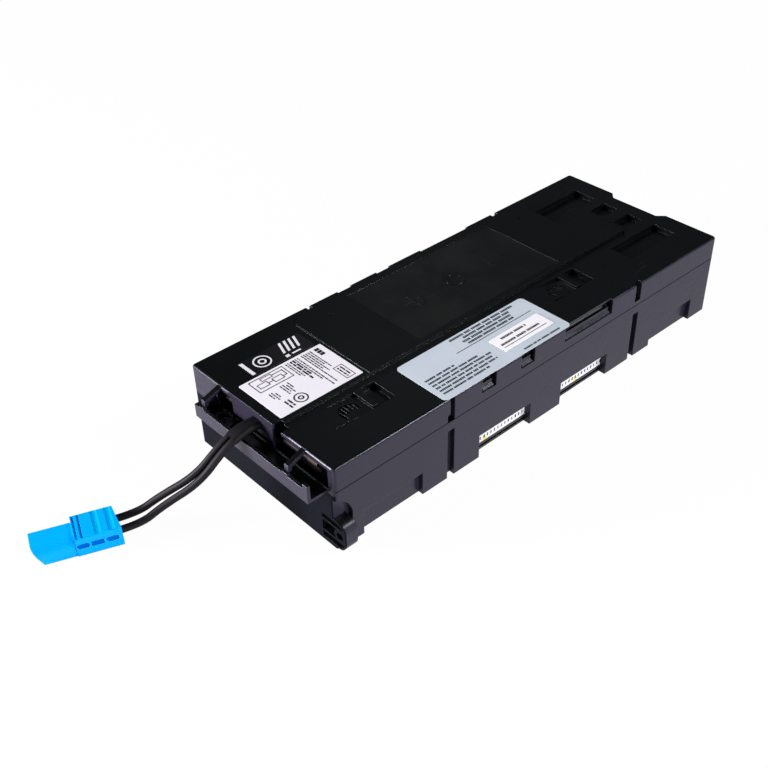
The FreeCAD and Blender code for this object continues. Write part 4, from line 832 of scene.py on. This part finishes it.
# %% [markdown]
# A narrow frame follows the border of the sunk panel. It lies at the level of the deck, inside the
# raised plateau, so the cover hides it.

# %% Frame under the sunk panel
panel = outline(141.0, 301.0, -15.0, 68.0, 0.45)
print_piece("panel_edges", panel, DECK, panel_frame_grey, "case_plastic")
print("frame:", len(panel), "bars")

# %% [markdown]
# The battery labels stand upright behind the side windows, so their print is built flat in the
# X-Z plane: rows of short ticks, two broad bars and a small yellow dot on each. The loop runs over
# the four batteries, which stand at an even pitch.

# %% Print of the battery labels
SIDE_FACE = -75.7
BATTERIES = 4
FIRST_FACE = 12.0
PITCH = 107.0
LABEL_INSET = 11.0
TICKS = 17
FIRST_TICK, TICK_PITCH = 5.0, 3.9
TICK_WIDTHS = (0.9, 1.6)
TICK_BAND = (9.4, 12.2)
BAR_START = 6.0
BARS = ((58.0, 20.0, 22.0), (40.0, 26.0, 32.0))
DOT_START, DOT_END = 31.0, 34.4
DOT_BAND = (7.0, 10.4)


def upright_plate(x0, x1, z0, z1):
    """Vertices and faces of a plate that stands against the near face of the batteries."""
    corners = [at(x, SIDE_FACE - depth, z) for depth in (0.0, INK)
               for x, z in ((x0, z0), (x1, z0), (x1, z1), (x0, z1))]
    faces = [(0, 1, 2, 3), (7, 6, 5, 4)]
    faces += [(4 + n, 4 + (n + 1) % 4, (n + 1) % 4, n) for n in range(4)]
    return corners, faces


def upright_piece(name, boxes, ink):
    """One mesh with all the upright plates in one ink."""
    vertices, faces = gather(upright_plate(*box) for box in boxes)
    mesh_piece(name, vertices, faces, ink, "paper_white")


ticks = []
dots = []
for battery in range(BATTERIES):
    face = FIRST_FACE + battery * PITCH
    start = face + LABEL_INSET
    for n in range(TICKS):
        low = start + FIRST_TICK + TICK_PITCH * n
        ticks.append((low, low + chance.uniform(*TICK_WIDTHS), *TICK_BAND))
    ticks += [(start + BAR_START, start + end, *band) for end, *band in BARS]
    dots.append((face + DOT_START, face + DOT_END, *DOT_BAND))
upright_piece("battery_ticks", ticks, ink_black)
upright_piece("battery_dots", dots, ink_yellow)
print("battery labels:", len(ticks), "bars and", len(dots), "dots")

# %% [markdown]
# The three slots in the side of the plug are deep and narrow, so their floors lie in shade. A thin
# eight-cornered plate on each floor carries that shade as painted shade, a darker blue without
# shine. The corners of the middle slot are nearly square, those of the outer two are cut off.

# %% Floors of the plug's slots
SLOTS = 3
FIRST_SLOT, SLOT_PITCH = 3.0, 10.2
SLOT_START, SLOT_END = 0.2, 8.4
SLOT_LOW, SLOT_HIGH = 7.3, 11.1
OUTER_CUT, MIDDLE_CUT = 1.6, 0.2
FLOOR_DEPTHS = (0.97, 0.55)


def slot_floor(number):
    """Vertices and faces of the painted-shade plate on the floor of one slot."""
    ahead = FIRST_SLOT + SLOT_PITCH * number
    cut = MIDDLE_CUT if number == SLOTS // 2 else OUTER_CUT
    near, far = ahead + SLOT_START, ahead + SLOT_END
    rim = [(near, SLOT_LOW + cut), (near + cut, SLOT_LOW), (far - cut, SLOT_LOW),
           (far, SLOT_LOW + cut), (far, SLOT_HIGH - cut), (far - cut, SLOT_HIGH),
           (near + cut, SLOT_HIGH), (near, SLOT_HIGH - cut)]
    corners = [plug_point(along, across, height) for across in FLOOR_DEPTHS
               for along, height in rim]
    count = len(rim)
    faces = [tuple(range(count)), tuple(reversed(range(count, 2 * count)))]
    faces += [(k, count + k, count + (k + 1) % count, (k + 1) % count) for k in range(count)]
    return corners, faces


mesh_piece("plug_slots", *gather(slot_floor(n) for n in range(SLOTS)), painted_slot_shade, "plug_plastic")
print("plug slots:", SLOTS)

# %% [markdown]
# ## Floor
#
# The floor is a plain pale sheet. It glows white to the camera and in reflections, so the glossy
# black sides pick up a soft grey from it as they would from a white table, and it still takes a
# faint shadow. A brighter lamp would whiten the sheet as well, but it would also light the object.
# In reflections the glow carries painted shade: it stops close to the cable end, where the case
# shades the sheet, and it grows weaker from the middle of the case to beyond its far end, which
# darkens what the far part of the case mirrors.

# %% The sheet
REACH = 6.0
SHEET_LEVEL = -0.0002
floor_mesh = bpy.data.meshes.new("floor")
floor_mesh.from_pydata([(-REACH, -REACH, 0), (REACH, -REACH, 0), (REACH, REACH, 0),
                        (-REACH, REACH, 0)], [], [(0, 1, 2, 3)])
floor = bpy.data.objects.new("floor", floor_mesh)
bpy.context.collection.objects.link(floor)
floor.location.z = SHEET_LEVEL
print("sheet:", 2 * REACH, "m wide")

# %% Its glow
GLOW_SHARE = 0.97
BEYOND_RAMP = (0.235, 0.285)
BESIDE_RAMP = (-0.215, -0.205)
FADE_RAMP = (-0.05, 0.40)
FAR_GLOW = 0.25
floor_material = bpy.data.materials.new("floor")
floor_material.use_nodes = True
tree = floor_material.node_tree
tree.nodes.clear()
matt = tree.nodes.new("ShaderNodeBsdfDiffuse")
matt.inputs["Color"].default_value = (0.9, 0.9, 0.9, 1.0)
glow = tree.nodes.new("ShaderNodeEmission")
glow.inputs["Color"].default_value = (1.0, 1.0, 1.0, 1.0)
glow.inputs["Strength"].default_value = 1.0
path = tree.nodes.new("ShaderNodeLightPath")
x, _, _ = place_axes(tree)
# Painted shade in reflections: no glow near the cable end, and less towards the far end.
beyond = ahead_of(tree, x, BEYOND_RAMP)
beside = steps(tree, x, *BESIDE_RAMP)
mirrored = math_node(tree, "MULTIPLY", math_node(tree, "MAXIMUM", beyond, beside),
                     path.outputs["Is Glossy Ray"])
fading = blend_value(tree, steps(tree, x, *FADE_RAMP), 1.0, FAR_GLOW)
mirrored = math_node(tree, "MULTIPLY", mirrored, fading)
seen = math_node(tree, "MAXIMUM", path.outputs["Is Camera Ray"], mirrored)
share = math_node(tree, "MULTIPLY", seen, GLOW_SHARE)


def mix_shaders(tree, mask, first, second, output):
    """Mix two shaders by a mask and send the result to a new output node."""
    mixer = tree.nodes.new("ShaderNodeMixShader")
    tree.links.new(mask, mixer.inputs["Fac"])
    tree.links.new(first, mixer.inputs[1])
    tree.links.new(second, mixer.inputs[2])
    ending = tree.nodes.new(output)
    tree.links.new(mixer.outputs["Shader"], ending.inputs["Surface"])


mix_shaders(tree, share, matt.outputs["BSDF"], glow.outputs["Emission"],
            "ShaderNodeOutputMaterial")
floor_mesh.materials.append(floor_material)
print("floor material:", floor_material.name)

# %% [markdown]
# ## Room and lamps
#
# The camera sees a white room, but the object is lit by a dim bluish one, so that its black top
# stays dark. Two low lamps light the upright faces. Two small ones stand where the rounded top
# edges mirror them. The flat top mirrors two dim lamps, which give it soft patches of grey. Area
# lamps are used throughout, because a point lamp leaves hard shadows and pin-sharp highlights.

# %% The room
world = bpy.data.worlds.new("studio")
bpy.context.scene.world = world
world.use_nodes = True
tree = world.node_tree
tree.nodes.clear()
ambient = tree.nodes.new("ShaderNodeBackground")
ambient.inputs["Color"].default_value = (0.80, 0.82, 0.90, 1.0)
ambient.inputs["Strength"].default_value = 0.045
backdrop = tree.nodes.new("ShaderNodeBackground")
backdrop.inputs["Color"].default_value = (1.0, 1.0, 1.0, 1.0)
path = tree.nodes.new("ShaderNodeLightPath")
mix_shaders(tree, path.outputs["Is Camera Ray"], ambient.outputs["Background"],
            backdrop.outputs["Background"], "ShaderNodeOutputWorld")
print("room:", world.name)


# %% Lamps
def soft_lamp(name, location, aim, size, power, colour=(1.0, 1.0, 1.0)):
    """Square area lamp that looks at a point; size in metres, power in watts."""
    data = bpy.data.lights.new(name, "AREA")
    data.energy = power
    data.size = size
    data.color = colour
    lamp = bpy.data.objects.new(name, data)
    lamp.location = location
    lamp.rotation_euler = (Vector(aim) - Vector(location)).to_track_quat("-Z", "Y").to_euler()
    bpy.context.collection.objects.link(lamp)


soft_lamp("low end lamp", (-1.75, 0.95, 0.40), (-0.2, 0.0, 0.05), 0.7, 104.0, (1.0, 0.93, 1.0))
soft_lamp("low side lamp", (-0.1, -2.2, 0.34), (-0.05, 0.0, 0.04), 0.9, 42.0, (0.97, 0.95, 1.0))
soft_lamp("edge lamp", (1.04, -1.39, 1.37), (-0.1, -0.05, 0.07), 0.45, 30.0)
soft_lamp("far edge lamp", (-1.44, 1.25, 1.21), (-0.1, 0.0, 0.07), 0.6, 9.0)
soft_lamp("near strip lamp", (0.88, 1.09, 1.34), (-0.15, -0.065, 0.07), 0.55, 0.09)
soft_lamp("plateau lamp", (1.29, 1.12, 1.14), (0.03, 0.0, 0.07), 0.9, 0.07)

# %% [markdown]
# ## Camera
#
# The camera stands above the near corner of the cable end and looks down the length of the case.
# Its axes are written as three unit vectors: right, up and backwards. Three angles would say the
# same, but the vectors can be read as directions in the frame of the CAD model.

# %% Camera
CAMERA_AT = (-0.54604, -0.51052, 0.56198)
RIGHT = Vector((0.73867, -0.67367, -0.02324))
UP = Vector((0.42563, 0.43942, 0.79104))
BACK = Vector((-0.52269, -0.59421, 0.61132))
camera_data = bpy.data.cameras.new("camera")
camera_data.sensor_width = 36.0
camera_data.lens = 52.16
camera_data.clip_start = 0.01
camera = bpy.data.objects.new("camera", camera_data)
turn = Matrix((RIGHT, UP, BACK)).transposed()
camera.matrix_world = Matrix.Translation(CAMERA_AT) @ turn.to_4x4()
bpy.context.collection.objects.link(camera)
bpy.context.scene.camera = camera
bpy.context.scene.view_settings.view_transform = "Standard"
print("camera at", tuple(round(v, 3) for v in camera.location))

# %% [markdown]
# ## Finish
#

# %% Finish
print("end of the scene script")
